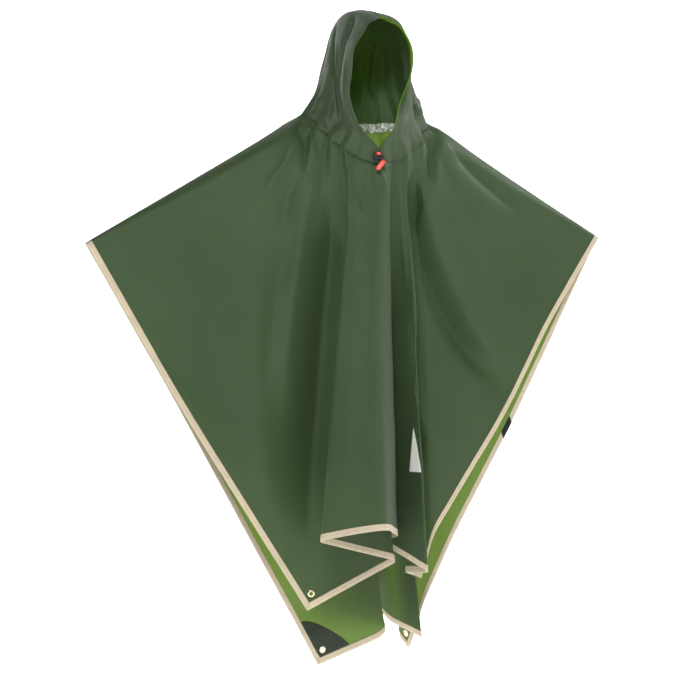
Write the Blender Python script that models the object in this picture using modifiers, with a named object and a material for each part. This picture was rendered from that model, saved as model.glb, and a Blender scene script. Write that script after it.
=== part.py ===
"""Hooded rain poncho, worn with the arms held out to the sides and no wearer inside.

Metres, +Z up, front towards -Y. The origin is the centre of the neck opening, where the
poncho rests on its wearer's shoulders.

The body is a rectangle of coated polyester with a neck hole. Its two shoulder lines fall
away from a point above the neck, so the cloth between the arms is too wide for the space
and hangs in folds. Each panel is laid out on its flat cut, as s across and t down from the
shoulder line, and every point of the cut is carried along a straight line from the neck
seam to the bound edge. The tables below say where the edge and the neck seam hang.
"""

import math
from collections import namedtuple

import bmesh
import bpy
from mathutils import Matrix, Vector

# ---- The flat cut ----
WIDTH = 1.45  # side edge to side edge
FRONT_LENGTH = 1.00  # shoulder line to front hem
BACK_LENGTH = 1.20  # shoulder line to back hem, longer to cover a rucksack
NECK_CUT_SIDE = 0.125  # neck hole, from its centre to the side
NECK_CUT_FRONT = 0.190
NECK_CUT_BACK = 0.060

# ---- Walls and clearances ----
PANEL_ROWS = 5  # rows of faces from the neck to the binding
WALL = 0.0014
GAP = 0.0003
EDGE_GAP = 0.0005  # between a panel's cut edge and the fold of its binding
SEAM_SETBACK = 0.0004  # panels stop this far from the shoulder line
NECK_SETBACK = 0.0024  # and this far from the neck seam
TAPE_WALL = 0.0008
BINDING_WIDTH = 0.013
BINDING_START = 0.005  # the tape starts this far below the shoulder line
NECK_TAPE_WIDTH = 0.018
NECK_TAPE_CLEARANCE = 0.0024
HOOD_COLUMNS = 11
CASING_LOW = 0.045  # the casing's share of the way round, at the neck
CASING_HIGH = 0.16  # and beside the face, where the rows turn inwards
CASING_START = 0.08  # share of the hood's height where it starts to widen
CASING_RISE = 0.25
HOOD_LEVELS = (0.010, 0.08, 0.16, 0.25, 0.34, 0.44, 0.54, 0.64, 0.74, 0.83, 0.90, 0.96, 1.0)
RIDGE_SETBACK = 0.0012  # hood halves stop this far from their middle seam

# ---- Where the cloth hangs ----
PEAK = Vector((0.0, 0.0, 0.09))  # where the two shoulder lines would cross
ARM_RADIUS = 0.036  # bulge of the sleeves near the shoulder
HAND_RADIUS = 0.006
ARM_FADE = 0.30  # how far down the cloth the bulge of the arm dies away
HOOD_BAND_RISE = 0.30  # from the neck seam to the ridge of the hood, about
HOOD_BAND_LENGTH = 0.42  # round one half of the hood, from its rim to its back, about

# ---- Hardware ----
EYELET_INSET = 0.028  # eyelet centre, from both edges of its corner
EYELET_RADIUS = 0.0085
EYELET_HOLE = 0.0040
EYELET_WALL = 0.0006
EYELET_FLANGE = 0.0008
EYELET_CLEARANCE = 0.0005
BENT_CLEARANCE = 0.0014  # where the cloth bends under an eyelet
PATCH_WALL = 0.0008
PATCH_BULGE = 1.4  # roundness of the patch's free edge
PATCH_ALONG_SIDE = 0.120
PATCH_ALONG_HEM = 0.085
TAB_LENGTH = 0.045
TAB_DISTANCE = 0.535  # middle of the tab, from the wrist corner
CORD_RADIUS = 0.0012
CORD_WAY = 0.0017  # radius of the lock's two ways
CORD_SPREAD = 0.0021  # each cord's distance from the middle of the lock
CORD_START = Vector((-0.004, -0.1377, -0.0790))  # where the cords leave the casing
CORD_START_SPREAD = 0.0060
LOCK_SIZE = (0.026, 0.012, 0.011)
LOCK_CENTRE = Vector((-0.005, -0.1460, -0.0980))
LOCK_EDGE = 0.0035
BUTTON_RADIUS = 0.0056
BUTTON_LENGTH = 0.007
BUTTON_SHIFT = -0.002
CORD_END_TOP = Vector((0.002, -0.1580, -0.1060))
CORD_END_FOOT = Vector((-0.014, -0.1560, -0.1250))
CORD_END_RADIUS = 0.0056
CORD_END_BORE = 0.005

# Edge rows. along: distance round the cut's edge from the left wrist; x, y: where it hangs;
# drop: how far below the peak; turn: length of cloth in the bend; neck: the angle on the
# neck seam, from the middle of its panel, that the same thread line starts from.
Edge = namedtuple("Edge", "name along x y drop turn neck")

FRONT_EDGE = (
    Edge("left_wrist", 0.000, -0.634, 0.000, 0.383, 0.00, -90),
    Edge("left_side", 0.450, -0.419, -0.012, 0.757, 0.30, -66),
    Edge("left_corner", 1.000, -0.140, -0.045, 1.206, 0.00, -48),
    Edge("under_fold", 1.235, 0.066, -0.080, 1.100, 0.03, -37),
    Edge("pleat_left", 1.425, -0.170, -0.200, 1.027, 0.03, -26),
    Edge("pleat_front", 1.530, -0.090, -0.262, 1.003, 0.14, -13),
    Edge("pleat_right", 1.640, -0.020, -0.236, 1.004, 0.06, 2),
    Edge("pleat_wall", 1.800, 0.074, -0.070, 1.045, 0.05, 8),
    Edge("valley_left", 1.910, 0.050, 0.035, 1.068, 0.03, 11),
    Edge("valley_right", 1.965, 0.086, 0.042, 1.083, 0.03, 14),
    Edge("second_fold", 2.210, 0.132, -0.120, 1.125, 0.09, 27),
    Edge("right_bend", 2.400, 0.139, 0.055, 1.150, 0.04, 42),
    Edge("right_corner", 2.450, 0.174, 0.030, 1.163, 0.00, 44),
    Edge("right_kink", 2.560, 0.190, 0.000, 1.060, 0.06, 47),
    Edge("right_side", 2.967, 0.391, -0.005, 0.752, 0.12, 57),
    Edge("right_dent", 3.181, 0.484, -0.020, 0.562, 0.12, 66),
    Edge("right_wrist", 3.450, 0.639, 0.000, 0.338, 0.00, 90),
)

BACK_EDGE = (
    Edge("left_wrist", 0.000, -0.634, 0.000, 0.383, 0.00, -90),
    Edge("left_side", 0.450, -0.421, 0.010, 0.749, 0.30, -68),
    Edge("left_corner", 1.200, -0.078, 0.060, 1.358, 0.00, -46),
    Edge("inner_fold", 1.410, 0.156, 0.108, 1.296, 0.16, -36),
    Edge("pleat_left", 1.650, -0.090, 0.190, 1.235, 0.05, -26),
    Edge("pleat_back", 1.820, 0.000, 0.285, 1.215, 0.14, -12),
    Edge("pleat_right", 1.990, 0.120, 0.275, 1.230, 0.14, 4),
    Edge("back_valley", 2.150, 0.146, 0.160, 1.291, 0.06, 16),
    Edge("last_fold", 2.300, 0.219, 0.120, 1.329, 0.03, 26),
    Edge("tail_left", 2.400, 0.160, 0.215, 1.290, 0.04, 31),
    Edge("tail_back", 2.455, 0.180, 0.262, 1.290, 0.03, 34),
    Edge("tail_right", 2.500, 0.213, 0.258, 1.315, 0.03, 37),
    Edge("tail_bend", 2.600, 0.197, 0.225, 1.345, 0.04, 40.5),
    Edge("right_corner", 2.650, 0.209, 0.190, 1.368, 0.00, 42),
    Edge("right_low", 2.708, 0.213, 0.157, 1.319, 0.03, 44),
    Edge("right_rise", 2.790, 0.229, 0.150, 1.251, 0.06, 47),
    Edge("right_swing", 3.040, 0.277, 0.060, 1.059, 0.14, 53),
    Edge("right_side", 3.315, 0.396, 0.015, 0.814, 0.14, 62),
    Edge("right_touch", 3.423, 0.442, 0.004, 0.716, 0.10, 67),
    Edge("right_wrist", 3.850, 0.639, 0.000, 0.338, 0.00, 90),
)

# The neck seam: half widths left and right, the sides' drop, and the middles' y and drop.
NECK_LEFT = 0.130
NECK_RIGHT = 0.158
NECK_SIDE_DROP = 0.075
NECK_FRONT = (-0.130, 0.197)  # y, drop
NECK_BACK = (0.100, 0.090)
SAG = 1.5  # above 1, the neck seam and the hood's bands keep low near the face and back

# Hood rows, from the neck seam (0) to the middle seam over the head (1). Each is a band
# from the face opening's rim, round the side, to the seam at the back of the head.
# Heights are above the peak.
Hood = namedtuple(
    "Hood", "level rim_left rim_right rim_y rim_z side_left side_right side_z back_y back_z"
)

HOOD_ROWS = (
    Hood(0.00, 0.000, 0.000, -0.130, -0.197, -0.130, 0.158, -0.075, 0.100, -0.090),
    Hood(0.12, -0.007, 0.000, -0.137, -0.161, -0.114, 0.155, -0.046, 0.106, -0.052),
    Hood(0.25, -0.050, 0.032, -0.140, -0.120, -0.100, 0.144, -0.016, 0.112, -0.010),
    Hood(0.40, -0.074, 0.047, -0.141, -0.062, -0.089, 0.130, 0.014, 0.117, 0.036),
    Hood(0.58, -0.072, 0.070, -0.142, -0.005, -0.076, 0.113, 0.054, 0.119, 0.086),
    Hood(0.75, -0.065, 0.079, -0.142, 0.052, -0.060, 0.100, 0.104, 0.119, 0.130),
    Hood(0.90, -0.040, 0.060, -0.141, 0.094, -0.040, 0.082, 0.153, 0.117, 0.158),
    Hood(0.96, -0.026, 0.038, -0.141, 0.115, -0.026, 0.056, 0.167, 0.114, 0.168),
    Hood(1.00, 0.000, 0.000, -0.140, 0.125, 0.000, 0.000, 0.173, 0.108, 0.174),
)

# Soft troughs pressed into the hood. side: -1 left, 1 right; place: share of the way from
# the rim to the back at the neck and at the top; depth and width in metres.
Trough = namedtuple("Trough", "side place_low place_high depth width")
HOOD_TROUGHS = (
    Trough(-1, 0.26, 0.34, 0.016, 0.016),
    Trough(1, 0.34, 0.40, 0.012, 0.018),
)

MATERIALS = {
    "cloth": ((0.045, 0.075, 0.040, 1.0), 0.50, 0.0),
    "binding": ((0.55, 0.46, 0.36, 1.0), 0.80, 0.0),
    "metal": ((0.80, 0.76, 0.62, 1.0), 0.30, 1.0),
    "black": ((0.02, 0.02, 0.025, 1.0), 0.60, 0.0),
    "red": ((0.75, 0.08, 0.07, 1.0), 0.45, 0.0),
    "tape": ((0.20, 0.24, 0.20, 1.0), 0.25, 0.0),
}

Panel = namedtuple("Panel", "name rows length facing neck_middle neck_cut")
FRONT = Panel("front", FRONT_EDGE, FRONT_LENGTH, -1, NECK_FRONT, NECK_CUT_FRONT)
BACK = Panel("back", BACK_EDGE, BACK_LENGTH, 1, NECK_BACK, NECK_CUT_BACK)


# ---------------------------------------------------------------- the draped form


def smooth_step(x):
    """0 below 0, 1 above 1, and an easy rise between."""
    x = min(1.0, max(0.0, x))
    return x * x * (3 - 2 * x)


def mix(a, b, share):
    return tuple(p + (q - p) * share for p, q in zip(a, b))


def hanging_values(row):
    return (row.x, row.y, row.drop, row.neck)


def on_straight(rows, along):
    """The edge's values at a distance along it, with a sharp bend at each row."""
    for first, second in zip(rows, rows[1:]):
        if along <= second.along or second is rows[-1]:
            share = (along - first.along) / (second.along - first.along)
            return mix(hanging_values(first), hanging_values(second), share)


def on_edge(rows, along):
    """The edge's values at a distance along it, each bend rounded over its turn."""
    for row in rows:
        half = row.turn / 2
        if half and abs(along - row.along) < half:
            share = (along - row.along + half) / row.turn
            before = on_straight(rows, row.along - half)
            after = on_straight(rows, row.along + half)
            corner = hanging_values(row)
            return mix(mix(before, corner, share), mix(corner, after, share), share)
    return on_straight(rows, along)


def neck_point(panel, degrees):
    """A point of the neck seam, by its angle from the middle of the panel."""
    turn = math.radians(degrees)
    side_x = NECK_LEFT if degrees < 0 else NECK_RIGHT
    middle_y, middle_drop = panel.neck_middle
    sag = max(0.0, math.cos(turn)) ** SAG
    drop = NECK_SIDE_DROP + (middle_drop - NECK_SIDE_DROP) * sag
    return PEAK + Vector((side_x * math.sin(turn), middle_y * math.cos(turn), -drop))


def neck_cut_radius(panel, s, t):
    """How far the neck hole reaches from its centre on the flat cut, towards (s, t)."""
    down = t / math.hypot(s, t)
    return NECK_CUT_SIDE + (panel.neck_cut - NECK_CUT_SIDE) * down**2


def edge_of_cut(panel, s, t):
    """Where a line from the neck's centre through (s, t) leaves the cut: (along, s, t)."""
    half = WIDTH / 2
    if abs(s) * panel.length > t * half:
        edge_t = half * t / abs(s)
        along = edge_t if s < 0 else 2 * panel.length + WIDTH - edge_t
        return along, math.copysign(half, s), edge_t
    edge_s = s * panel.length / t
    return panel.length + half + edge_s, edge_s, panel.length


def arm_bulge(panel, s, t):
    """How the cloth stands off the shoulder line where it goes over an arm."""
    out = smooth_step((abs(s) - NECK_CUT_SIDE) / 0.10)
    to_hand = smooth_step((WIDTH / 2 - abs(s)) / 0.35)
    radius = HAND_RADIUS + (ARM_RADIUS - HAND_RADIUS) * out * to_hand
    bend = min(t / radius, math.pi / 2)
    fade = math.exp(-max(0.0, t - radius) / ARM_FADE)
    away = radius * math.sin(bend) * fade
    lift = (min(t, radius * math.pi / 2) - radius * (1 - math.cos(bend))) * 0.75 * fade
    return Vector((0.0, panel.facing * away, lift))


def cloth_point(panel, s, t):
    """The point of the hanging panel that the cut's point (s, t) comes to."""
    along, edge_s, edge_t = edge_of_cut(panel, s, t)
    x, y, drop, neck = on_edge(panel.rows, along)
    start = neck_cut_radius(panel, s, t)
    reach = math.hypot(edge_s, edge_t)
    share = (math.hypot(s, t) - start) / (reach - start)
    hanging = PEAK + Vector((x, y, -drop))
    return neck_point(panel, neck).lerp(hanging, share) + arm_bulge(panel, s, t)


def hood_row(level):
    """The hood's row at any level, on a smooth curve through the table's rows."""
    rows = HOOD_ROWS
    k = max(i for i in range(len(rows) - 1) if level >= rows[i].level)
    a, b = rows[k], rows[k + 1]
    before, after = rows[max(k - 1, 0)], rows[min(k + 2, len(rows) - 1)]
    x = (level - a.level) / (b.level - a.level)
    values = []
    for field in range(1, len(a)):
        slope_a = (b[field] - before[field]) / (b.level - before.level)
        slope_b = (after[field] - a[field]) / (after.level - a.level)
        step = b.level - a.level
        values.append(
            (2 * x**3 - 3 * x**2 + 1) * a[field]
            + (x**3 - 2 * x**2 + x) * slope_a * step
            + (3 * x**2 - 2 * x**3) * b[field]
            + (x**3 - x**2) * slope_b * step
        )
    return Hood(level, *values)


def hood_point(side, place, level):
    """A point of one hood half. place: 0 at the rim to 1 at the back; level: 0 at the neck."""
    row = hood_row(level)
    rim_x = row.rim_left if side < 0 else row.rim_right
    side_x = row.side_left if side < 0 else row.side_right
    if place <= 0.5:
        turn = place * math.pi
        sag = max(0.0, math.cos(turn)) ** SAG
        upper = smooth_step(level / 0.3)
        share = mix((math.sin(turn),), (smooth_step(2 * place),), upper)[0]
        x = rim_x + (side_x - rim_x) * share
        y = row.rim_y * math.cos(turn)
        z = row.side_z + (row.rim_z - row.side_z) * sag
    else:
        turn = (1 - place) * math.pi
        sag = max(0.0, math.cos(turn)) ** SAG
        x = side_x * math.sin(turn)
        y = row.back_y * math.cos(turn)
        z = row.side_z + (row.back_z - row.side_z) * sag
    inward = Vector((-x, -y, 0.0))
    if inward.length > 1e-6:
        inward.normalize()
    return PEAK + Vector((x, y, z)) + inward * trough_depth(side, place, level)


def trough_depth(side, place, level):
    """How far the troughs press the hood in at a point."""
    total = 0.0
    for trough in HOOD_TROUGHS:
        if trough.side != side:
            continue
        middle = trough.place_low + (trough.place_high - trough.place_low) * level
        off = (place - middle) * HOOD_BAND_LENGTH / trough.width
        ends = smooth_step((level - 0.02) / 0.15) * smooth_step((0.98 - level) / 0.12)
        total += trough.depth * ends * math.exp(-off * off)
    return total


# ---------------------------------------------------------------- making meshes


def collection_of(name):
    made = bpy.data.collections.new(name)
    bpy.context.scene.collection.children.link(made)
    return made


def material_of(name):
    made = bpy.data.materials.get(name)
    if made is None:
        colour, roughness, metallic = MATERIALS[name]
        made = bpy.data.materials.new(name)
        made.use_nodes = True
        shader = made.node_tree.nodes["Principled BSDF"]
        shader.inputs["Base Color"].default_value = colour
        shader.inputs["Roughness"].default_value = roughness
        shader.inputs["Metallic"].default_value = metallic
    return made


def object_of(name, bm, material, smooth=True):
    """Makes the bmesh an object of the poncho."""
    mesh = bpy.data.meshes.new(name)
    bm.to_mesh(mesh)
    bm.free()
    if smooth:
        mesh.shade_smooth()
        mesh.set_sharp_from_angle(angle=math.radians(50))
    made = bpy.data.objects.new(name, mesh)
    mesh.materials.append(material_of(material))
    PONCHO.objects.link(made)
    return made


def grid_of(columns, rows, place):
    """A sheet of columns by rows quads whose corner (i, j) lies at place(i, j)."""
    bm = bmesh.new()
    bmesh.ops.create_grid(bm, x_segments=columns, y_segments=rows, size=0.5)
    for vertex in bm.verts:
        i = round((vertex.co.x + 0.5) * columns)
        j = round((vertex.co.y + 0.5) * rows)
        vertex.co = place(i, j)
    bmesh.ops.triangulate(bm, faces=bm.faces[:], quad_method="FIXED")
    bm.normal_update()
    return bm


def face_outwards(bm, from_point):
    """Turns the sheet so that its faces point away from a point inside the garment."""
    total = sum((f.calc_center_median() - from_point).dot(f.normal) for f in bm.faces)
    if total < 0:
        bmesh.ops.reverse_faces(bm, faces=bm.faces[:])
        bm.normal_update()
    return bm


def solidify(made, thickness, offset=0.0):
    wall = made.modifiers.new("wall", "SOLIDIFY")
    wall.thickness = thickness
    wall.offset = offset
    wall.use_even_offset = False
    return made


def panel_columns(panel):
    """Distances along the edge at which the sheet has a column of points."""
    side_steps = (0.03, 0.07, 0.13)
    found = {SEAM_SETBACK, BINDING_START}
    found |= set(side_steps)
    end = panel.rows[-1].along
    for first, second in zip(panel.rows, panel.rows[1:]):
        start = first.along + first.turn / 2
        stop = second.along - second.turn / 2
        pieces = max(1, round((stop - start) / 0.14))
        found |= {start + (stop - start) * n / pieces for n in range(pieces + 1)}
        bends = 4 if second.turn < 0.2 else 2
        turns = {second.along + second.turn * (n / bends - 0.5) for n in range(bends + 1)}
        found |= turns
    found |= {end - step for step in (SEAM_SETBACK, BINDING_START, *side_steps)}
    if panel is BACK:
        found |= {end - TAB_DISTANCE + half for half in (-TAB_LENGTH / 2, TAB_LENGTH / 2)}
    ordered = []
    for along in sorted(found):
        inside = SEAM_SETBACK <= along <= end - SEAM_SETBACK + 1e-9
        kept = panel.length, panel.length + WIDTH
        apart = not ordered or along - ordered[-1] > 0.0025
        if inside and (apart or min(abs(along - k) for k in kept) < 1e-6):
            if ordered and along - ordered[-1] < 0.0025:
                ordered.pop()
            ordered.append(along)
    return ordered


def cut_edge_point(panel, along):
    """The cut's edge at a distance along it, as (s, t)."""
    half = WIDTH / 2
    if along < panel.length:
        return -half, along
    if along < panel.length + WIDTH:
        return along - panel.length - half, panel.length
    return half, 2 * panel.length + WIDTH - along


def binding_line_point(panel, edge_s, edge_t):
    """The point of the binding's inner line on the way from an edge point to the neck."""
    half = WIDTH / 2
    at_side = abs(edge_s) > half - 1e-6
    at_hem = edge_t > panel.length - 1e-6
    if at_side and at_hem:
        return math.copysign(half - BINDING_WIDTH, edge_s), panel.length - BINDING_WIDTH
    kept = 1 - BINDING_WIDTH / (half if at_side else panel.length)
    return edge_s * kept, edge_t * kept


def panel_cut_point(panel, along, share):
    """A point of the cut on the column that ends at along. share: 0 at the neck, 1 at the
    binding's inner line, 2 at the edge."""
    edge_s, edge_t = cut_edge_point(panel, along)
    inner_s, inner_t = binding_line_point(panel, edge_s, edge_t)
    if share > 1:
        s = inner_s + (edge_s - inner_s) * (share - 1)
        return s, inner_t + (edge_t - inner_t) * (share - 1)
    radius = neck_cut_radius(panel, edge_s, edge_t) + NECK_SETBACK
    reach = math.hypot(edge_s, edge_t)
    s, t = edge_s * radius / reach, edge_t * radius / reach
    if edge_t <= BINDING_START + 1e-9:
        t = inner_t
    return s + (inner_s - s) * share, t + (inner_t - t) * share


def wrapped_tape(name, edge_line, inner_line, material, under=0.0):
    """A tape folded over a sheet's edge. The lines are the sheet's own vertices, so the
    tape keeps an even clearance to it. under is the thickness it also has to clear."""
    near = WALL / 2 + GAP + under
    far = near + TAPE_WALL
    push = EDGE_GAP + under
    section = (
        (0, 0.0, far),
        (1, push + TAPE_WALL, far),
        (1, push + TAPE_WALL, -far),
        (0, 0.0, -far),
        (0, 0.0, -near),
        (1, push, -near),
        (1, push, near),
        (0, 0.0, near),
    )
    tape = bmesh.new()
    rings = []
    for lines in zip(inner_line, edge_line):
        out = (lines[1].co - lines[0].co).normalized()
        rings.append(
            [tape.verts.new(lines[k].co + out * o + lines[k].normal * h) for k, o, h in section]
        )
    for n, (first, second) in enumerate(zip(rings, rings[1:])):
        start, stop = inner_line[n], edge_line[n + 1]
        rising = any(e.other_vert(start) is stop for e in start.link_edges)
        turns = (rising, True, not rising, True, rising, False, not rising, True)
        for k, forward in enumerate(turns):
            m = (k + 1) % 8
            if forward:
                tape.faces.new((first[k], second[k], second[m]))
                tape.faces.new((first[k], second[m], first[m]))
            else:
                tape.faces.new((first[k], second[k], first[m]))
                tape.faces.new((second[k], second[m], first[m]))
    for ring in (rings[0], rings[-1]):
        tape.faces.new((ring[0], ring[1], ring[6], ring[7]))
        tape.faces.new((ring[1], ring[2], ring[5], ring[6]))
        tape.faces.new((ring[2], ring[3], ring[4], ring[5]))
    bmesh.ops.recalc_face_normals(tape, faces=tape.faces[:])
    return object_of(name, tape, material)


def lining_strip(name, bm, lines, height, material):
    """A thin strip lying on one side of a sheet, over some neighbouring lines of its
    vertices. height is from the sheet's middle to the strip's middle."""
    bm.normal_update()
    picked = {vertex for line in lines for vertex in line}
    strip = bmesh.new()
    copies = {v: strip.verts.new(v.co + v.normal * height) for v in picked}
    for face in bm.faces:
        if all(v in picked for v in face.verts):
            strip.faces.new([copies[v] for v in face.verts])
    strip.normal_update()
    return solidify(object_of(name, strip, material), TAPE_WALL)


class Sheet:
    """A panel's sheet with each vertex's place on the flat cut."""

    def __init__(self, panel):
        self.panel = panel
        self.columns = panel_columns(panel)
        shares = [(n / PANEL_ROWS) ** 0.9 for n in range(PANEL_ROWS + 1)] + [2.0]
        width = len(self.columns)
        cut = [panel_cut_point(panel, a, share) for share in shares for a in self.columns]

        def place(i, j):
            return cloth_point(panel, *cut[j * width + i])

        self.bm = grid_of(width - 1, len(shares) - 1, place)
        face_outwards(self.bm, Vector((0.0, 0.0, -0.30)))
        self.bm.verts.ensure_lookup_table()
        self.cut = cut
        self.lines = [self.bm.verts[j * width : (j + 1) * width] for j in range(len(shares))]

    def spot(self, s, t):
        """The sheet's point and normal under a point of the flat cut."""
        for face in self.bm.faces:
            corners = [Vector(self.cut[v.index]) for v in face.verts]
            a, b, c = corners
            whole = (b - a).cross(c - a)
            if abs(whole) < 1e-12:
                continue
            here = Vector((s, t))
            weights = ((b - here).cross(c - here) / whole, (c - here).cross(a - here) / whole)
            weights += (1 - weights[0] - weights[1],)
            if min(weights) > -1e-6:
                point = Vector()
                normal = Vector()
                for vertex, weight in zip(face.verts, weights):
                    point += vertex.co * weight
                    normal += vertex.normal * weight
                return point, normal
        raise ValueError(f"({s:.3f}, {t:.3f}) is off the {self.panel.name}")


def ring_of(name, profile, centre, axis, material, segments=20):
    """Turns a closed outline of (radius, height) points round an axis."""
    bm = bmesh.new()
    turn = axis.to_track_quat("Z", "Y").to_matrix()
    rings = []
    for k in range(segments):
        angle = 2 * math.pi * k / segments
        ring = []
        for radius, height in profile:
            local = Vector((radius * math.cos(angle), radius * math.sin(angle), height))
            ring.append(bm.verts.new(centre + turn @ local))
        rings.append(ring)
    for first, second in zip(rings, rings[1:] + rings[:1]):
        for k in range(len(profile)):
            m = (k + 1) % len(profile)
            bm.faces.new((first[k], second[k], second[m], first[m]))
    bmesh.ops.recalc_face_normals(bm, faces=bm.faces[:])
    return object_of(name, bm, material)


def cutter_of(name, centre, axis, radius, length, segments=20):
    """A round cutter through a wall."""
    bm = bmesh.new()
    bmesh.ops.create_cone(
        bm, cap_ends=True, segments=segments, radius1=radius, radius2=radius, depth=length
    )
    turn = axis.to_track_quat("Z", "Y").to_matrix().to_4x4()
    bm.transform(Matrix.Translation(centre) @ turn)
    mesh = bpy.data.meshes.new(name)
    bm.to_mesh(mesh)
    bm.free()
    made = bpy.data.objects.new(name, mesh)
    made.hide_render = True
    made.display_type = "WIRE"
    CUTTERS.objects.link(made)
    return made


def cut_by(made, cutter):
    hole = made.modifiers.new("hole", "BOOLEAN")
    hole.operation = "DIFFERENCE"
    hole.solver = "EXACT"
    hole.object = cutter


def tube_of(name, points, radius, material):
    """A round cord, straight from each point to the next."""
    curve = bpy.data.curves.new(name, "CURVE")
    curve.dimensions = "3D"
    curve.bevel_depth = radius
    curve.bevel_resolution = 2
    curve.resolution_u = 1
    curve.use_fill_caps = True
    path = curve.splines.new("BEZIER")
    path.bezier_points.add(len(points) - 1)
    for knot, point in zip(path.bezier_points, points):
        knot.co = point
        knot.handle_left_type = knot.handle_right_type = "VECTOR"
    made = bpy.data.objects.new(name, curve)
    curve.materials.append(material_of(material))
    PONCHO.objects.link(made)
    return made


def bevel(made, width, segments=2):
    edge = made.modifiers.new("edge", "BEVEL")
    edge.width = width
    edge.segments = segments
    edge.limit_method = "ANGLE"


# ---------------------------------------------------------------- the pieces


def add_bodies():
    """Front and back panels, the bindings sewn round their edges and the corners' metal."""
    for panel in (FRONT, BACK):
        sheet = Sheet(panel)
        edge_line, inner_line = sheet.lines[-1], sheet.lines[-2]
        corners = [panel.length, panel.length + WIDTH]
        stops = [BINDING_START, *corners, panel.rows[-1].along - BINDING_START]
        for side, low, high in zip(("left", "hem", "right"), stops, stops[1:]):
            picked = columns_between(sheet, low, high)
            wrapped_tape(
                f"binding_{panel.name}_{side}",
                [edge_line[k] for k in picked],
                [inner_line[k] for k in picked],
                "binding",
            )
        if panel is BACK:
            add_side_tab(sheet)
        solid = solidify(object_of(panel.name, sheet.bm.copy(), "cloth"), WALL)
        for side, name in ((-1, "left"), (1, "right")):
            add_corner(sheet, solid, side, name)
        sheet.bm.free()


def columns_between(sheet, low, high):
    return [k for k, c in enumerate(sheet.columns) if low - 1e-6 <= c <= high + 1e-6]


def add_side_tab(sheet):
    """The webbing tab folded over the back's right-hand binding."""
    middle = sheet.panel.rows[-1].along - TAB_DISTANCE
    low, high = middle - TAB_LENGTH / 2, middle + TAB_LENGTH / 2
    picked = columns_between(sheet, low - 0.001, high + 0.001)
    wrapped_tape(
        "side_tab",
        [sheet.lines[-1][k] for k in picked],
        [sheet.lines[-2][k] for k in picked],
        "black",
        TAPE_WALL + GAP,
    )


def add_corner(sheet, solid, side, name):
    """An eyelet in a lower corner, and the second layer of cloth inside the back's left."""
    panel = sheet.panel
    s = side * (WIDTH / 2 - EYELET_INSET)
    t = panel.length - EYELET_INSET
    centre, normal = sheet.spot(s, t)
    axis = normal.normalized()
    hole_radius = EYELET_HOLE + EYELET_WALL + GAP
    cutter = cutter_of(f"{panel.name}_{name}_hole", centre, axis, hole_radius, 0.02)
    cut_by(solid, cutter)
    top = WALL / 2 + (BENT_CLEARANCE if name == "right" else EYELET_CLEARANCE)
    bottom = -top
    if panel is BACK and name == "left":
        patch = corner_patch(sheet, side, f"corner_patch_{name}")
        cut_by(patch, cutter)
        bottom -= PATCH_WALL + GAP
    outline = (
        (EYELET_HOLE, bottom - EYELET_FLANGE),
        (EYELET_RADIUS, bottom - EYELET_FLANGE),
        (EYELET_RADIUS, bottom),
        (EYELET_HOLE + EYELET_WALL, bottom),
        (EYELET_HOLE + EYELET_WALL, top),
        (EYELET_RADIUS, top),
        (EYELET_RADIUS, top + EYELET_FLANGE),
        (EYELET_HOLE, top + EYELET_FLANGE),
    )
    ring_of(f"eyelet_{panel.name}_{name}", outline, centre, axis, "metal")


def corner_patch(sheet, side, name):
    """A rounded second layer inside a lower corner of the back."""
    steps = 5
    inset = BINDING_WIDTH + TAPE_WALL
    up, across = PATCH_ALONG_SIDE - inset, PATCH_ALONG_HEM - inset
    height = WALL / 2 + GAP + PATCH_WALL / 2

    def place(i, j):
        u, v = i / steps, j / steps
        if u or v:
            reach = max(u, v) / (u**PATCH_BULGE + v**PATCH_BULGE) ** (1 / PATCH_BULGE)
            u, v = u * reach, v * reach
        s = side * (WIDTH / 2 - inset - across * u)
        t = sheet.panel.length - inset - up * v
        point, normal = sheet.spot(s, t)
        return point - normal * height

    bm = grid_of(steps, steps, place)
    return solidify(object_of(name, bm, "cloth"), PATCH_WALL)


def hood_grid(side):
    """One hood half's sheet, with its lines of vertices from the neck upwards."""
    width = HOOD_COLUMNS + 2

    def place(i, j):
        level = HOOD_LEVELS[j]
        widened = smooth_step((level - CASING_START) / CASING_RISE)
        casing = CASING_LOW + (CASING_HIGH - CASING_LOW) * widened
        along = casing + (1 - casing) * (i - 1) / HOOD_COLUMNS if i else 0.0
        point = hood_point(side, along, level)
        point.x += side * RIDGE_SETBACK
        return point

    bm = grid_of(width - 1, len(HOOD_LEVELS) - 1, place)
    face_outwards(bm, PEAK + Vector((0.0, 0.0, 0.02)))
    bm.verts.ensure_lookup_table()
    lines = [bm.verts[j * width : (j + 1) * width] for j in range(len(HOOD_LEVELS))]
    return bm, lines


def add_hood():
    """Two shaped halves joined over the head, each with its casing for the drawcord."""
    for side, name in ((-1, "left"), (1, "right")):
        bm, lines = hood_grid(side)
        rim = [[line[k] for line in lines] for k in (0, 1)]
        height = -(WALL / 2 + GAP + TAPE_WALL / 2)
        lining_strip(f"hood_casing_{name}", bm, rim, height, "cloth")
        solidify(object_of(f"hood_{name}", bm, "cloth"), WALL)


def neck_line_point(degrees, panel, below):
    """A point of a panel this far below the neck seam, on the thread line that starts at
    an angle of it."""
    low, high = 0.0, panel.rows[-1].along
    for _ in range(40):
        middle = (low + high) / 2
        if on_edge(panel.rows, middle)[3] < degrees:
            low = middle
        else:
            high = middle
    s, t = cut_edge_point(panel, min(max(low, 0.02), panel.rows[-1].along - 0.02))
    reach = math.hypot(s, t)
    share = (neck_cut_radius(panel, s, t) + below) / reach
    return cloth_point(panel, s * share, t * share)


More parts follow.
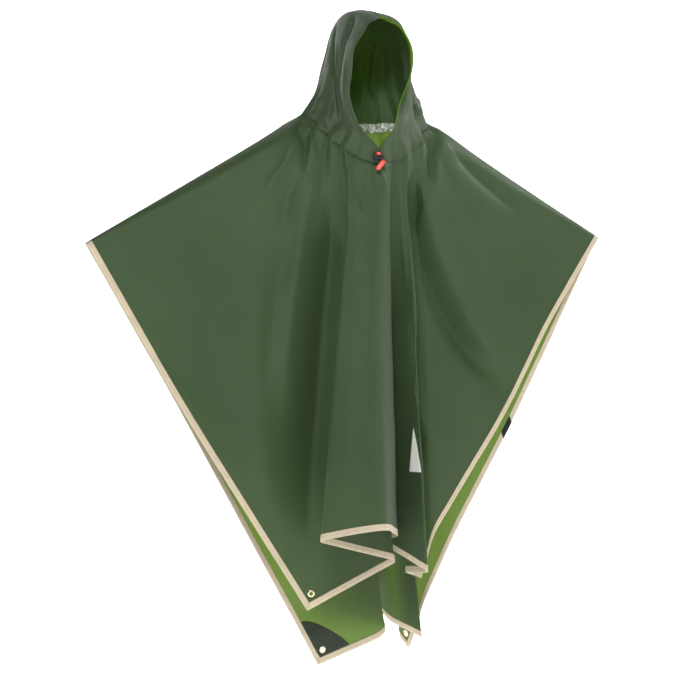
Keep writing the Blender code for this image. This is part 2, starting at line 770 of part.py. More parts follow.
def add_neck_tape():
    """The tape that seals the neck seam from inside, a closed loop over hood and body."""
    half = NECK_TAPE_WIDTH / 2
    steps = 24
    turns = []
    for k in range(steps):
        around = 360 * k / steps
        front = around < 90 or around > 270
        panel = FRONT if front else BACK
        degrees = around if around <= 90 else around - 360 if front else 180 - around
        turns.append((panel, degrees))
    rows = []
    for panel, degrees in turns:
        seam = neck_point(panel, degrees)
        below = neck_line_point(degrees, panel, half)
        side = -1 if degrees < 0 or (degrees == 0 and panel is BACK) else 1
        place = abs(degrees) / 180 if panel is FRONT else 1 - abs(degrees) / 180
        above = hood_point(side, place, half / HOOD_BAND_RISE)
        rows.append((above, seam, below))
    tape = bmesh.new()
    outer, inner = [], []
    for k, row in enumerate(rows):
        before, after = rows[k - 1], rows[(k + 1) % steps]
        along = (after[1] - before[1]).normalized()
        up = (row[0] - row[1]).cross(along).normalized()
        down = (row[1] - row[2]).cross(along).normalized()
        middle = (up + down).normalized()
        if middle.dot(Vector((-row[1].x, -row[1].y, -0.05))) < 0:
            up, down, middle = -up, -down, -middle
        near = NECK_TAPE_CLEARANCE
        far = near + TAPE_WALL
        outer.append([tape.verts.new(p + n * near) for p, n in zip(row, (up, middle, down))])
        inner.append([tape.verts.new(p + n * far) for p, n in zip(row, (up, middle, down))])
    for k in range(steps):
        m = (k + 1) % steps
        for a in (0, 1):
            tape.faces.new((outer[k][a], outer[m][a], outer[m][a + 1], outer[k][a + 1]))
            tape.faces.new((inner[k][a], inner[k][a + 1], inner[m][a + 1], inner[m][a]))
        tape.faces.new((outer[k][0], inner[k][0], inner[m][0], outer[m][0]))
        tape.faces.new((outer[k][2], outer[m][2], inner[m][2], inner[k][2]))
    bmesh.ops.triangulate(tape, faces=tape.faces[:])
    bmesh.ops.recalc_face_normals(tape, faces=tape.faces[:])
    object_of("neck_tape", tape, "tape")


def rounded_block(name, size, centre, edge, material):
    bm = bmesh.new()
    bmesh.ops.create_cube(bm, size=1.0)
    bm.transform(Matrix.Translation(centre) @ Matrix.Diagonal((*size, 1.0)))
    made = object_of(name, bm, material, smooth=False)
    bevel(made, edge, 3)
    return made


def add_cord_lock():
    """The lock on the hood's cord: a body, its spring button, two cords and their end."""
    body = rounded_block("cord_lock_body", LOCK_SIZE, LOCK_CENTRE, LOCK_EDGE, "black")
    back = Vector((0.0, 1.0, 0.0))
    for side in (-1, 1):
        spot = LOCK_CENTRE + Vector((side * CORD_SPREAD, 0.0, 0.0))
        cut_by(body, cutter_of(f"cord_way_{side + 1}", spot, back, CORD_WAY, 0.05))
    height = LOCK_SIZE[2] / 2 + GAP
    outline = (
        (0.0012, height),
        (BUTTON_RADIUS, height),
        (BUTTON_RADIUS, height + BUTTON_LENGTH * 0.6),
        (BUTTON_RADIUS * 0.7, height + BUTTON_LENGTH),
        (0.0012, height + BUTTON_LENGTH),
    )
    centre = LOCK_CENTRE + Vector((BUTTON_SHIFT, 0.0, 0.0))
    ring_of("cord_lock_button", outline, centre, Vector((0.0, 0.0, 1.0)), "red", 16)
    add_cord_end()


def add_cord_end():
    """The moulded end that both cords run into, and the cords."""
    axis = (CORD_END_TOP - CORD_END_FOOT).normalized()
    length = (CORD_END_TOP - CORD_END_FOOT).length
    r = CORD_END_RADIUS
    bore = CORD_SPREAD + CORD_RADIUS + GAP * 2.5
    floor = length - CORD_END_BORE
    outline = (
        (0.0008, 0.0),
        (r * 0.60, 0.0),
        (r * 0.92, r * 0.35),
        (r, r * 0.9),
        (r * 0.92, length - r * 0.5),
        (r * 0.80, length),
        (bore, length),
        (bore, floor),
        (0.0008, floor),
    )
    ring_of("cord_end", outline, CORD_END_FOOT, axis, "red", 16)
    for side, name in ((-1, "left"), (1, "right")):
        hole = LOCK_CENTRE + Vector((side * CORD_SPREAD, 0.0, 0.0))
        half = Vector((0.0, LOCK_SIZE[1] / 2, 0.0))
        approach = CORD_END_TOP - (LOCK_CENTRE - half)
        across = axis.cross(approach).normalized() * side * CORD_SPREAD * 0.8
        last = CORD_END_TOP - axis * (CORD_END_BORE - GAP * 3) + across
        points = (
            CORD_START + Vector((side * CORD_START_SPREAD, 0.0, 0.0)),
            hole + half * 1.30 + Vector((side * 0.001, 0.0, 0.009)),
            hole + half * 1.30 + Vector((0.0, 0.0, 0.001)),
            hole + half * 1.10,
            hole - half * 1.15,
            hole - half * 1.6 + Vector((0.0, 0.0, -0.0005)),
            CORD_END_TOP + axis * 0.002 + across,
            last,
        )
        tube_of(f"drawcord_{name}", points, CORD_RADIUS, "black")


bpy.ops.object.select_all(action="DESELECT")
for leftover in list(bpy.data.objects):
    bpy.data.objects.remove(leftover)
PONCHO = collection_of("poncho")
CUTTERS = collection_of("cutters")
add_bodies()
add_hood()
add_neck_tape()
add_cord_lock()
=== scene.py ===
"""Looks of the hooded rain poncho: coated cloth that hangs in folds from held-out arms.

Each panel is laid out on its flat cut, as s across and t down from the shoulder line, and
draped as the CAD panels are, with finer creases, gathers and stitched trims on top.
"""

import math
from collections import namedtuple

import bmesh
import bpy
from mathutils import Matrix, Vector, noise


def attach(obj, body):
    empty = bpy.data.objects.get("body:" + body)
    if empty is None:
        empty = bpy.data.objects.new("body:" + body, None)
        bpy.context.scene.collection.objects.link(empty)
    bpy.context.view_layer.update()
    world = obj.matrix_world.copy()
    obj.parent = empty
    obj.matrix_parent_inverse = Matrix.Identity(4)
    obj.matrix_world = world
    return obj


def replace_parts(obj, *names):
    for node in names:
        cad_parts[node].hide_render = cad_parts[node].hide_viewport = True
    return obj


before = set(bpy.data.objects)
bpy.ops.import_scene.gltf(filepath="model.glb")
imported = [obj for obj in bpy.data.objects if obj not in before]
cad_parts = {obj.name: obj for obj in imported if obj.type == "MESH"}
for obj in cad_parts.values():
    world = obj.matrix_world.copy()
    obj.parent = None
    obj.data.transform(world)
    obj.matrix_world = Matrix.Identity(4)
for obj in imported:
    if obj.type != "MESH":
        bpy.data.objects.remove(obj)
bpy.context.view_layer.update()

# ---- The flat cut, in metres ----
WIDTH = 1.45
FRONT_LENGTH = 1.00
BACK_LENGTH = 1.20
NECK_CUT_SIDE = 0.125
NECK_CUT_FRONT = 0.190
NECK_CUT_BACK = 0.060
BINDING_WIDTH = 0.013
BINDING_START = 0.004

# ---- Walls ----
CLOTH_WALL = 0.0006
TRIM_WALL = 0.0006
BINDING_HEIGHT = 0.0011  # middle of the cloth to the middle of the tape
TAB_HEIGHT = 0.0021
NECK_TAPE_HALF = 0.009

# ---- Where the cloth hangs, as in the CAD part ----
PEAK = Vector((0.0, 0.0, 0.09))
ARM_RADIUS = 0.036
HAND_RADIUS = 0.006
ARM_FADE = 0.30
EYELET_INSET = 0.028
EYELET_PUNCH = 0.0046
TAB_LENGTH = 0.045
TAB_DISTANCE = 0.535

# Edge rows. along: distance round the cut's edge from the left wrist; x, y: where it hangs;
# drop: how far below the peak; turn: length of cloth in the bend; neck: the angle on the
# neck seam, from the middle of its panel, that the same thread line starts from.
Edge = namedtuple("Edge", "name along x y drop turn neck")

FRONT_EDGE = (
    Edge("left_wrist", 0.000, -0.634, 0.000, 0.383, 0.00, -90),
    Edge("left_side", 0.450, -0.419, -0.012, 0.757, 0.30, -66),
    Edge("left_corner", 1.000, -0.140, -0.045, 1.206, 0.00, -48),
    Edge("under_fold", 1.235, 0.066, -0.080, 1.100, 0.03, -37),
    Edge("pleat_left", 1.425, -0.170, -0.200, 1.027, 0.03, -26),
    Edge("pleat_front", 1.530, -0.090, -0.262, 1.003, 0.14, -13),
    Edge("pleat_right", 1.640, -0.020, -0.236, 1.004, 0.06, 2),
    Edge("pleat_wall", 1.800, 0.074, -0.070, 1.045, 0.05, 8),
    Edge("valley_left", 1.910, 0.050, 0.035, 1.068, 0.03, 11),
    Edge("valley_right", 1.965, 0.086, 0.042, 1.083, 0.03, 14),
    Edge("second_fold", 2.210, 0.132, -0.120, 1.125, 0.09, 27),
    Edge("right_bend", 2.400, 0.139, 0.055, 1.150, 0.04, 42),
    Edge("right_corner", 2.450, 0.174, 0.030, 1.163, 0.00, 44),
    Edge("right_kink", 2.560, 0.190, 0.000, 1.060, 0.06, 47),
    Edge("right_side", 2.967, 0.391, -0.005, 0.752, 0.12, 57),
    Edge("right_dent", 3.181, 0.484, -0.020, 0.562, 0.12, 66),
    Edge("right_wrist", 3.450, 0.639, 0.000, 0.338, 0.00, 90),
)

BACK_EDGE = (
    Edge("left_wrist", 0.000, -0.634, 0.000, 0.383, 0.00, -90),
    Edge("left_side", 0.450, -0.421, 0.010, 0.749, 0.30, -68),
    Edge("left_corner", 1.200, -0.078, 0.060, 1.358, 0.00, -46),
    Edge("inner_fold", 1.410, 0.156, 0.108, 1.296, 0.16, -36),
    Edge("pleat_left", 1.650, -0.090, 0.190, 1.235, 0.05, -26),
    Edge("pleat_back", 1.820, 0.000, 0.285, 1.215, 0.14, -12),
    Edge("pleat_right", 1.990, 0.120, 0.275, 1.230, 0.14, 4),
    Edge("back_valley", 2.150, 0.146, 0.160, 1.291, 0.06, 16),
    Edge("last_fold", 2.300, 0.219, 0.120, 1.329, 0.03, 26),
    Edge("tail_left", 2.400, 0.160, 0.215, 1.290, 0.04, 31),
    Edge("tail_back", 2.455, 0.180, 0.262, 1.290, 0.03, 34),
    Edge("tail_right", 2.500, 0.213, 0.258, 1.315, 0.03, 37),
    Edge("tail_bend", 2.600, 0.197, 0.225, 1.345, 0.04, 40.5),
    Edge("right_corner", 2.650, 0.209, 0.190, 1.368, 0.00, 42),
    Edge("right_low", 2.708, 0.213, 0.157, 1.319, 0.03, 44),
    Edge("right_rise", 2.790, 0.229, 0.150, 1.251, 0.06, 47),
    Edge("right_swing", 3.040, 0.277, 0.060, 1.059, 0.14, 53),
    Edge("right_side", 3.315, 0.396, 0.015, 0.814, 0.14, 62),
    Edge("right_touch", 3.423, 0.442, 0.004, 0.716, 0.10, 67),
    Edge("right_wrist", 3.850, 0.639, 0.000, 0.338, 0.00, 90),
)

# The neck seam: half widths left and right, the sides' drop, and the middles' y and drop.
NECK_LEFT = 0.130
NECK_RIGHT = 0.158
NECK_SIDE_DROP = 0.075
NECK_FRONT = (-0.130, 0.197)  # y, drop
NECK_BACK = (0.100, 0.090)
SAG = 1.5  # above 1, the neck seam and the hood's bands keep low near the face and back

# Hood rows, from the neck seam (0) to the middle seam over the head (1). Each is a band
# from the face opening's rim, round the side, to the seam at the back of the head.
# Heights are above the peak.
Hood = namedtuple(
    "Hood", "level rim_left rim_right rim_y rim_z side_left side_right side_z back_y back_z"
)

HOOD_ROWS = (
    Hood(0.00, 0.000, 0.000, -0.130, -0.197, -0.130, 0.158, -0.075, 0.100, -0.090),
    Hood(0.12, -0.007, 0.000, -0.137, -0.161, -0.114, 0.155, -0.046, 0.106, -0.052),
    Hood(0.25, -0.050, 0.032, -0.140, -0.120, -0.100, 0.144, -0.016, 0.112, -0.010),
    Hood(0.40, -0.074, 0.047, -0.141, -0.062, -0.089, 0.130, 0.014, 0.117, 0.036),
    Hood(0.58, -0.072, 0.070, -0.142, -0.005, -0.076, 0.113, 0.054, 0.119, 0.086),
    Hood(0.75, -0.065, 0.079, -0.142, 0.052, -0.060, 0.100, 0.104, 0.119, 0.130),
    Hood(0.90, -0.040, 0.060, -0.141, 0.094, -0.040, 0.082, 0.153, 0.117, 0.158),
    Hood(0.96, -0.026, 0.038, -0.141, 0.115, -0.026, 0.056, 0.167, 0.114, 0.168),
    Hood(1.00, 0.000, 0.000, -0.140, 0.125, 0.000, 0.000, 0.173, 0.108, 0.174),
)

# Soft troughs pressed into the hood. side: -1 left, 1 right; place: share of the way from
# the rim to the back at the neck and at the top; depth and width in metres.
Trough = namedtuple("Trough", "side place_low place_high depth width")
HOOD_TROUGHS = (
    Trough(-1, 0.26, 0.34, 0.016, 0.016),
    Trough(1, 0.34, 0.40, 0.012, 0.018),
)

Panel = namedtuple("Panel", "name rows length facing neck_middle neck_cut")
FRONT = Panel("front", FRONT_EDGE, FRONT_LENGTH, -1, NECK_FRONT, NECK_CUT_FRONT)
BACK = Panel("back", BACK_EDGE, BACK_LENGTH, 1, NECK_BACK, NECK_CUT_BACK)


# ---------------------------------------------------------------- the draped form


def smooth_step(x):
    """0 below 0, 1 above 1, and an easy rise between."""
    x = min(1.0, max(0.0, x))
    return x * x * (3 - 2 * x)


def mix(a, b, share):
    return tuple(p + (q - p) * share for p, q in zip(a, b))


def hanging_values(row):
    return (row.x, row.y, row.drop, row.neck)


def on_straight(rows, along):
    """The edge's values at a distance along it, with a sharp bend at each row."""
    for first, second in zip(rows, rows[1:]):
        if along <= second.along or second is rows[-1]:
            share = (along - first.along) / (second.along - first.along)
            return mix(hanging_values(first), hanging_values(second), share)


def on_edge(rows, along):
    """The edge's values at a distance along it, each bend rounded over its turn."""
    for row in rows:
        half = row.turn / 2
        if half and abs(along - row.along) < half:
            share = (along - row.along + half) / row.turn
            before = on_straight(rows, row.along - half)
            after = on_straight(rows, row.along + half)
            corner = hanging_values(row)
            return mix(mix(before, corner, share), mix(corner, after, share), share)
    return on_straight(rows, along)


def neck_point(panel, degrees):
    """A point of the neck seam, by its angle from the middle of the panel."""
    turn = math.radians(degrees)
    side_x = NECK_LEFT if degrees < 0 else NECK_RIGHT
    middle_y, middle_drop = panel.neck_middle
    sag = max(0.0, math.cos(turn)) ** SAG
    drop = NECK_SIDE_DROP + (middle_drop - NECK_SIDE_DROP) * sag
    return PEAK + Vector((side_x * math.sin(turn), middle_y * math.cos(turn), -drop))


def neck_cut_radius(panel, s, t):
    """How far the neck hole reaches from its centre on the flat cut, towards (s, t)."""
    down = t / math.hypot(s, t)
    return NECK_CUT_SIDE + (panel.neck_cut - NECK_CUT_SIDE) * down**2


def edge_of_cut(panel, s, t):
    """Where a line from the neck's centre through (s, t) leaves the cut: (along, s, t)."""
    half = WIDTH / 2
    if abs(s) * panel.length > t * half:
        edge_t = half * t / abs(s)
        along = edge_t if s < 0 else 2 * panel.length + WIDTH - edge_t
        return along, math.copysign(half, s), edge_t
    edge_s = s * panel.length / t
    return panel.length + half + edge_s, edge_s, panel.length


def arm_bulge(panel, s, t):
    """How the cloth stands off the shoulder line where it goes over an arm."""
    out = smooth_step((abs(s) - NECK_CUT_SIDE) / 0.10)
    to_hand = smooth_step((WIDTH / 2 - abs(s)) / 0.35)
    radius = HAND_RADIUS + (ARM_RADIUS - HAND_RADIUS) * out * to_hand
    bend = min(t / radius, math.pi / 2)
    fade = math.exp(-max(0.0, t - radius) / ARM_FADE)
    away = radius * math.sin(bend) * fade
    lift = (min(t, radius * math.pi / 2) - radius * (1 - math.cos(bend))) * 0.75 * fade
    return Vector((0.0, panel.facing * away, lift))


def hood_row(level):
    """The hood's row at any level, on a smooth curve through the table's rows."""
    rows = HOOD_ROWS
    k = max(i for i in range(len(rows) - 1) if level >= rows[i].level)
    a, b = rows[k], rows[k + 1]
    before, after = rows[max(k - 1, 0)], rows[min(k + 2, len(rows) - 1)]
    x = (level - a.level) / (b.level - a.level)
    values = []
    for field in range(1, len(a)):
        slope_a = (b[field] - before[field]) / (b.level - before.level)
        slope_b = (after[field] - a[field]) / (after.level - a.level)
        step = b.level - a.level
        values.append(
            (2 * x**3 - 3 * x**2 + 1) * a[field]
            + (x**3 - 2 * x**2 + x) * slope_a * step
            + (3 * x**2 - 2 * x**3) * b[field]
            + (x**3 - x**2) * slope_b * step
        )
    return Hood(level, *values)


def hood_point(side, place, level):
    """A point of one hood half. place: 0 at the rim to 1 at the back; level: 0 at the neck."""
    row = hood_row(level)
    rim_x = row.rim_left if side < 0 else row.rim_right
    side_x = row.side_left if side < 0 else row.side_right
    if place <= 0.5:
        turn = place * math.pi
        sag = max(0.0, math.cos(turn)) ** SAG
        upper = smooth_step(level / 0.3)
        share = mix((math.sin(turn),), (smooth_step(2 * place),), upper)[0]
        x = rim_x + (side_x - rim_x) * share
        y = row.rim_y * math.cos(turn)
        z = row.side_z + (row.rim_z - row.side_z) * sag
    else:
        turn = (1 - place) * math.pi
        sag = max(0.0, math.cos(turn)) ** SAG
        x = side_x * math.sin(turn)
        y = row.back_y * math.cos(turn)
        z = row.side_z + (row.back_z - row.side_z) * sag
    inward = Vector((-x, -y, 0.0))
    if inward.length > 1e-6:
        inward.normalize()
    return PEAK + Vector((x, y, z)) + inward * trough_depth(side, place, level)


def trough_depth(side, place, level):
    """How far the troughs press the hood in at a point."""
    total = 0.0
    for trough in HOOD_TROUGHS:
        if trough.side != side:
            continue
        middle = trough.place_low + (trough.place_high - trough.place_low) * level
        off = (place - middle) * HOOD_AROUND / trough.width
        ends = smooth_step((level - 0.02) / 0.15) * smooth_step((0.98 - level) / 0.12)
        total += trough.depth * ends * math.exp(-off * off)
    return total


# ---------------------------------------------------------------- creases and gathers

# Soft creases. lift: above the cloth, or below it where negative; width: half the breadth;
# points: the crease's line, as (s, t) on a panel's cut and as (place, level) on a hood half.
Crease = namedtuple("Crease", "lift width points")

FRONT_CREASES = tuple(
    Crease(*row)
    for row in (
        # sharp pinches under the left shoulder
        (-0.0125, 0.0085, ((-0.155, 0.02), (-0.18, 0.092), (-0.2, 0.135), (-0.222, 0.175))),
        (-0.006, 0.0065, ((-0.161, 0.03), (-0.168, 0.093), (-0.18, 0.13))),
        (0.007, 0.01, ((-0.14, 0.04), (-0.158, 0.11), (-0.176, 0.17))),
        # the left sleeve's soft folds, falling from the shoulder
        (0.0095, 0.017, ((-0.185, 0.06), (-0.249, 0.113), (-0.298, 0.127), (-0.33, 0.172))),
        (-0.009, 0.022, ((-0.23, 0.15), (-0.285, 0.19), (-0.33, 0.25))),
        (0.013, 0.03, ((-0.18, 0.187), (-0.259, 0.246), (-0.339, 0.338), (-0.439, 0.458),
            (-0.542, 0.603))),
        (-0.064, 0.046, ((-0.15, 0.214), (-0.217, 0.312), (-0.307, 0.436), (-0.416, 0.582),
            (-0.523, 0.723), (-0.607, 0.832), (-0.66, 0.93))),
        (0.022, 0.06, ((-0.4, 0.29), (-0.491, 0.384), (-0.633, 0.646), (-0.7, 0.86))),
        (-0.0085, 0.03, ((-0.281, 0.23), (-0.384, 0.332), (-0.475, 0.431), (-0.586, 0.571))),
        # the middle pleat
        (0.0065, 0.011, ((-0.075, 0.19), (-0.085, 0.24), (-0.095, 0.33))),
        (-0.007, 0.012, ((-0.05, 0.2), (-0.062, 0.253), (-0.054, 0.292), (-0.035, 0.31))),
        (0.009, 0.0085, ((-0.026, 0.198), (-0.015, 0.23), (-0.004, 0.26))),
        (0.005, 0.03, ((-0.055, 0.345), (-0.083, 0.565), (-0.122, 0.785), (-0.172, 1.0))),
        (-0.003, 0.018, ((-0.03, 0.42), (-0.045, 0.64), (-0.065, 0.9))),
        # right of the pleat
        (0.003, 0.008, ((0.057, 0.199), (0.097, 0.277), (0.186, 0.455))),
        (-0.048, 0.03, ((0.084, 0.17), (0.15, 0.238), (0.24, 0.313), (0.345, 0.374), (0.445, 0.414),
            (0.56, 0.441), (0.7, 0.462))),
        (0.016, 0.023, ((0.091, 0.15), (0.141, 0.196), (0.201, 0.243), (0.287, 0.297), (0.375, 0.338),
            (0.48, 0.376), (0.592, 0.4), (0.721, 0.414))),
        (0.008, 0.026, ((0.187, 0.499), (0.248, 0.575), (0.4, 0.64), (0.6, 0.709), (0.686, 0.774))),
        (0.005, 0.03, ((0.285, 0.169), (0.395, 0.243), (0.547, 0.29), (0.706, 0.289))),
        (-0.013, 0.034, ((0.194, 0.48), (0.282, 0.6), (0.42, 0.7), (0.6, 0.78))),
        (0.009, 0.012, ((0.182, 0.034), (0.19, 0.117), (0.216, 0.213))),
        (-0.0085, 0.012, ((0.16, 0.06), (0.168, 0.12), (0.185, 0.19))),
        (-0.0085, 0.016, ((0.205, 0.062), (0.306, 0.078), (0.404, 0.082), (0.495, 0.086))),
        # pulls at the wrists
        (0.003, 0.009, ((-0.712, 0.014), (-0.676, 0.058), (-0.64, 0.11))),
        (-0.0025, 0.007, ((-0.712, 0.006), (-0.668, 0.029), (-0.62, 0.052))),
        (0.003, 0.01, ((0.712, 0.016), (0.683, 0.073), (0.645, 0.13))),
        # ripples along the bound edges
        (-0.0035, 0.012, ((-0.72, 0.29), (-0.691, 0.363), (-0.68, 0.43))),
        (0.0025, 0.01, ((-0.718, 0.205), (-0.695, 0.262), (-0.68, 0.31))),
        (0.004, 0.022, ((0.7, 0.56), (0.56, 0.52), (0.43, 0.47))),
    )
)
BACK_CREASES = tuple(
    Crease(*row)
    for row in (
        (-0.009, 0.028, ((-0.15, 0.06), (-0.24, 0.3), (-0.33, 0.62))),
        (0.007, 0.026, ((-0.07, 0.08), (-0.1, 0.36), (-0.12, 0.76))),
        (-0.008, 0.026, ((0.09, 0.08), (0.17, 0.3), (0.25, 0.64))),
        (0.007, 0.03, ((0.15, 0.05), (0.29, 0.21), (0.45, 0.4))),
        (0.006, 0.03, ((-0.18, 0.04), (-0.36, 0.19), (-0.56, 0.38))),
        (-0.005, 0.024, ((0.18, 0.03), (0.36, 0.11), (0.56, 0.2))),
        (-0.0045, 0.024, ((-0.18, 0.025), (-0.36, 0.09), (-0.56, 0.17))),
        (0.003, 0.014, ((-0.52, 1.19), (-0.47, 1.06), (-0.43, 0.94))),
    )
)
HOOD_LEFT_CREASES = tuple(
    Crease(*row)
    for row in (
        (-0.024, 0.0085, ((0.6, 0.9), (0.487, 0.693), (0.382, 0.442), (0.332, 0.161), (0.3, 0.03))),
        (-0.01, 0.0055, ((0.42, 0.76), (0.32, 0.4), (0.26, 0.05))),
        (0.0085, 0.006, ((0.52, 0.83), (0.43, 0.56), (0.352, 0.3), (0.3, 0.1))),
        (0.004, 0.011, ((0.23, 0.7), (0.17, 0.42), (0.15, 0.12))),
        (-0.004, 0.006, ((0.372, 0.16), (0.325, 0.06), (0.29, 0.01))),
        (0.004, 0.007, ((0.44, 0.2), (0.4, 0.04))),
        (-0.005, 0.01, ((0.352, 0.93), (0.271, 0.729))),
        (-0.008, 0.018, ((0.64, 0.8), (0.6, 0.4), (0.56, 0.1))),
        (-0.006, 0.013, ((0.85, 0.7), (0.86, 0.3), (0.88, 0.05))),
    )
)
HOOD_RIGHT_CREASES = tuple(
    Crease(*row)
    for row in (
        (-0.013, 0.008, ((0.879, 0.7), (0.925, 0.447), (0.945, 0.2))),
        (0.011, 0.0075, ((0.829, 0.7), (0.889, 0.407), (0.93, 0.15))),
        (-0.015, 0.008, ((0.714, 0.76), (0.794, 0.452), (0.839, 0.24))),
        (0.011, 0.007, ((0.68, 0.7), (0.745, 0.412), (0.78, 0.27))),
        (0.007, 0.014, ((0.58, 0.86), (0.64, 0.5), (0.69, 0.1))),
        (-0.007, 0.009, ((0.33, 0.62), (0.392, 0.352), (0.362, 0.191), (0.28, 0.05))),
        (0.004, 0.008, ((0.211, 0.28), (0.2, 0.15), (0.146, 0.02))),
        (-0.004, 0.006, ((0.46, 0.33), (0.42, 0.24), (0.33, 0.2))),
        (0.004, 0.0055, ((0.48, 0.24), (0.43, 0.16), (0.36, 0.12))),
        (-0.0035, 0.005, ((0.5, 0.15), (0.45, 0.09), (0.38, 0.05))),
    )
)

# Gathers where the hood meets the body. around: degrees from the middle of the front, to
# the right; spread: half its breadth in degrees; lift: outwards.
Gather = namedtuple("Gather", "around spread lift")

GATHERS = tuple(
    Gather(*row)
    for row in (
        (-172, 3.0, 0.0030), (-163, 2.5, -0.0025), (-155, 3.5, 0.0035), (-146, 2.5, -0.0020),
        (-138, 4.0, 0.0030), (-127, 3.0, -0.0030), (-118, 3.5, 0.0025), (-106, 3.0, 0.0020),
        (-92, 3.0, 0.0035), (-85, 2.5, -0.0035), (-78, 3.0, 0.0030), (-70, 2.5, -0.0030),
        (-62, 3.0, 0.0035), (-54, 2.2, -0.0040), (-47, 2.5, 0.0030), (-40, 2.2, -0.0030),
        (-33, 2.5, 0.0025), (-24, 3.0, -0.0015), (-10, 3.0, 0.0015), (5, 2.5, 0.0020),
        (14, 3.0, -0.0020), (27, 3.0, 0.0025), (38, 3.5, -0.0025), (50, 3.0, 0.0030),
        (61, 3.0, -0.0035), (70, 2.5, 0.0035), (78, 2.5, -0.0030), (87, 3.0, 0.0030),
        (98, 3.5, -0.0025), (112, 3.5, 0.0030), (124, 3.0, -0.0025), (133, 3.0, 0.0035),
        (143, 2.5, -0.0030), (151, 3.0, 0.0035), (160, 2.5, -0.0030), (169, 3.0, 0.0030),
    )
)
HOOD_AROUND = 0.42  # a hood half's band from rim to back, about
HOOD_RISE = 0.36  # from the neck seam to the middle seam, about
CASING_LOW = 0.045
CASING_HIGH = 0.16
CASING_START = 0.08
CASING_RISE = 0.25
CREST_SHARE = 0.45  # how much of a crease's half breadth its rounded crest takes
CREASE_FALL = 0.68  # and its slope, as a share of that half breadth
GATHER_STRENGTH = 2.4
BODY_GATHER_REACH = 0.100  # metres from the neck seam in which the gathers die away
HOOD_GATHER_REACH = 0.065


def line_offset(points, x, y):
    """Distance from (x, y) to a line of points, and how far along the line it falls, 0 to 1."""
    best = None
    gone = 0.0
    whole = sum(math.dist(a, b) for a, b in zip(points, points[1:]))
    for a, b in zip(points, points[1:]):
        length = math.dist(a, b)
        share = ((x - a[0]) * (b[0] - a[0]) + (y - a[1]) * (b[1] - a[1])) / length**2
        share = min(1.0, max(0.0, share))
        off = math.hypot(x - a[0] - (b[0] - a[0]) * share, y - a[1] - (b[1] - a[1]) * share)
        if best is None or off < best[0]:
            best = off, (gone + length * share) / whole
        gone += length
    return best


def crease_lift(creases, x, y):
    """How far the creases lift the cloth at a point: crisp crests with slack sides."""
    total = 0.0
    for crease in creases:
        off, along = line_offset(crease.points, x, y)
        if off < crease.width * 4:
            ends = smooth_step(along / 0.22) * smooth_step((1 - along) / 0.30)
            crest = CREST_SHARE * crease.width
            slope = (math.hypot(off, crest) - crest) / (CREASE_FALL * crease.width)
            total += crease.lift * ends * math.exp(-slope)
    return total


PANEL_CREASES = {"front": FRONT_CREASES, "back": BACK_CREASES}
HOOD_CREASES = {
    side: [c._replace(points=tuple((p * HOOD_AROUND, v * HOOD_RISE) for p, v in c.points)) for c in creases]
    for side, creases in ((-1, HOOD_LEFT_CREASES), (1, HOOD_RIGHT_CREASES))
}


def gather_lift(around):
    """How far the gathers push the neck seam out, at an angle from the front's middle."""
    total = 0.0
    for gather in GATHERS:
        off = (around - gather.around) / gather.spread
        if abs(off) < 3:
            total += gather.lift * math.exp(-off * off)
    return total


def unevenness(x, y, seed, size):
    """The cloth's own slight waviness."""
    return noise.noise(Vector((x / size, y / size, seed)))


def panel_form(panel, s, t):
    """The panel's point before its creases. It meets the neck seam without a step."""
    along, edge_s, edge_t = edge_of_cut(panel, s, t)
    x, y, drop, neck = on_edge(panel.rows, along)
    start = neck_cut_radius(panel, s, t)
    reach = math.hypot(edge_s, edge_t)
    below = math.hypot(s, t) - start
    share = below / (reach - start)
    hanging = PEAK + Vector((x, y, -drop))
    point = neck_point(panel, neck).lerp(hanging, share)
    point += arm_bulge(panel, s, t) * smooth_step(below / 0.05)
    around = neck if panel.facing < 0 else math.copysign(180 - abs(neck), neck)
    out = Vector((point.x, point.y, 0.0)).normalized()
    kept = math.exp(-max(0.0, below) / BODY_GATHER_REACH)
    return point + out * gather_lift(around) * GATHER_STRENGTH * kept


def draped(panel, s, t):
    """The finished cloth's point at the cut's (s, t), and its outward normal."""
    step = 0.0015
    here = panel_form(panel, s, t)
    across = panel_form(panel, s + step, t) - panel_form(panel, s - step, t)
    down = panel_form(panel, s, t + step) - panel_form(panel, s, max(t - step, 0.0))
    normal = down.cross(across).normalized() * -panel.facing
    below = math.hypot(s, t) - neck_cut_radius(panel, s, t)
    fade = smooth_step(t / 0.022) * smooth_step(below / 0.03)
    lift = crease_lift(PANEL_CREASES[panel.name], s, t)
    lift += 0.0030 * unevenness(s, t, panel.facing * 3.0, 0.17)
    lift += 0.0009 * unevenness(s, t, panel.facing * 9.0, 0.05)
    return here + normal * lift * fade, normal


def hood_form(side, place, level):
    point = hood_point(side, place, level)
    out = Vector((point.x, point.y, 0.0))
    if out.length > 1e-6:
        out.normalize()
    kept = math.exp(-level * HOOD_RISE / HOOD_GATHER_REACH)
    gathered = gather_lift(side * place * 180) * GATHER_STRENGTH * kept
    return point + out * gathered


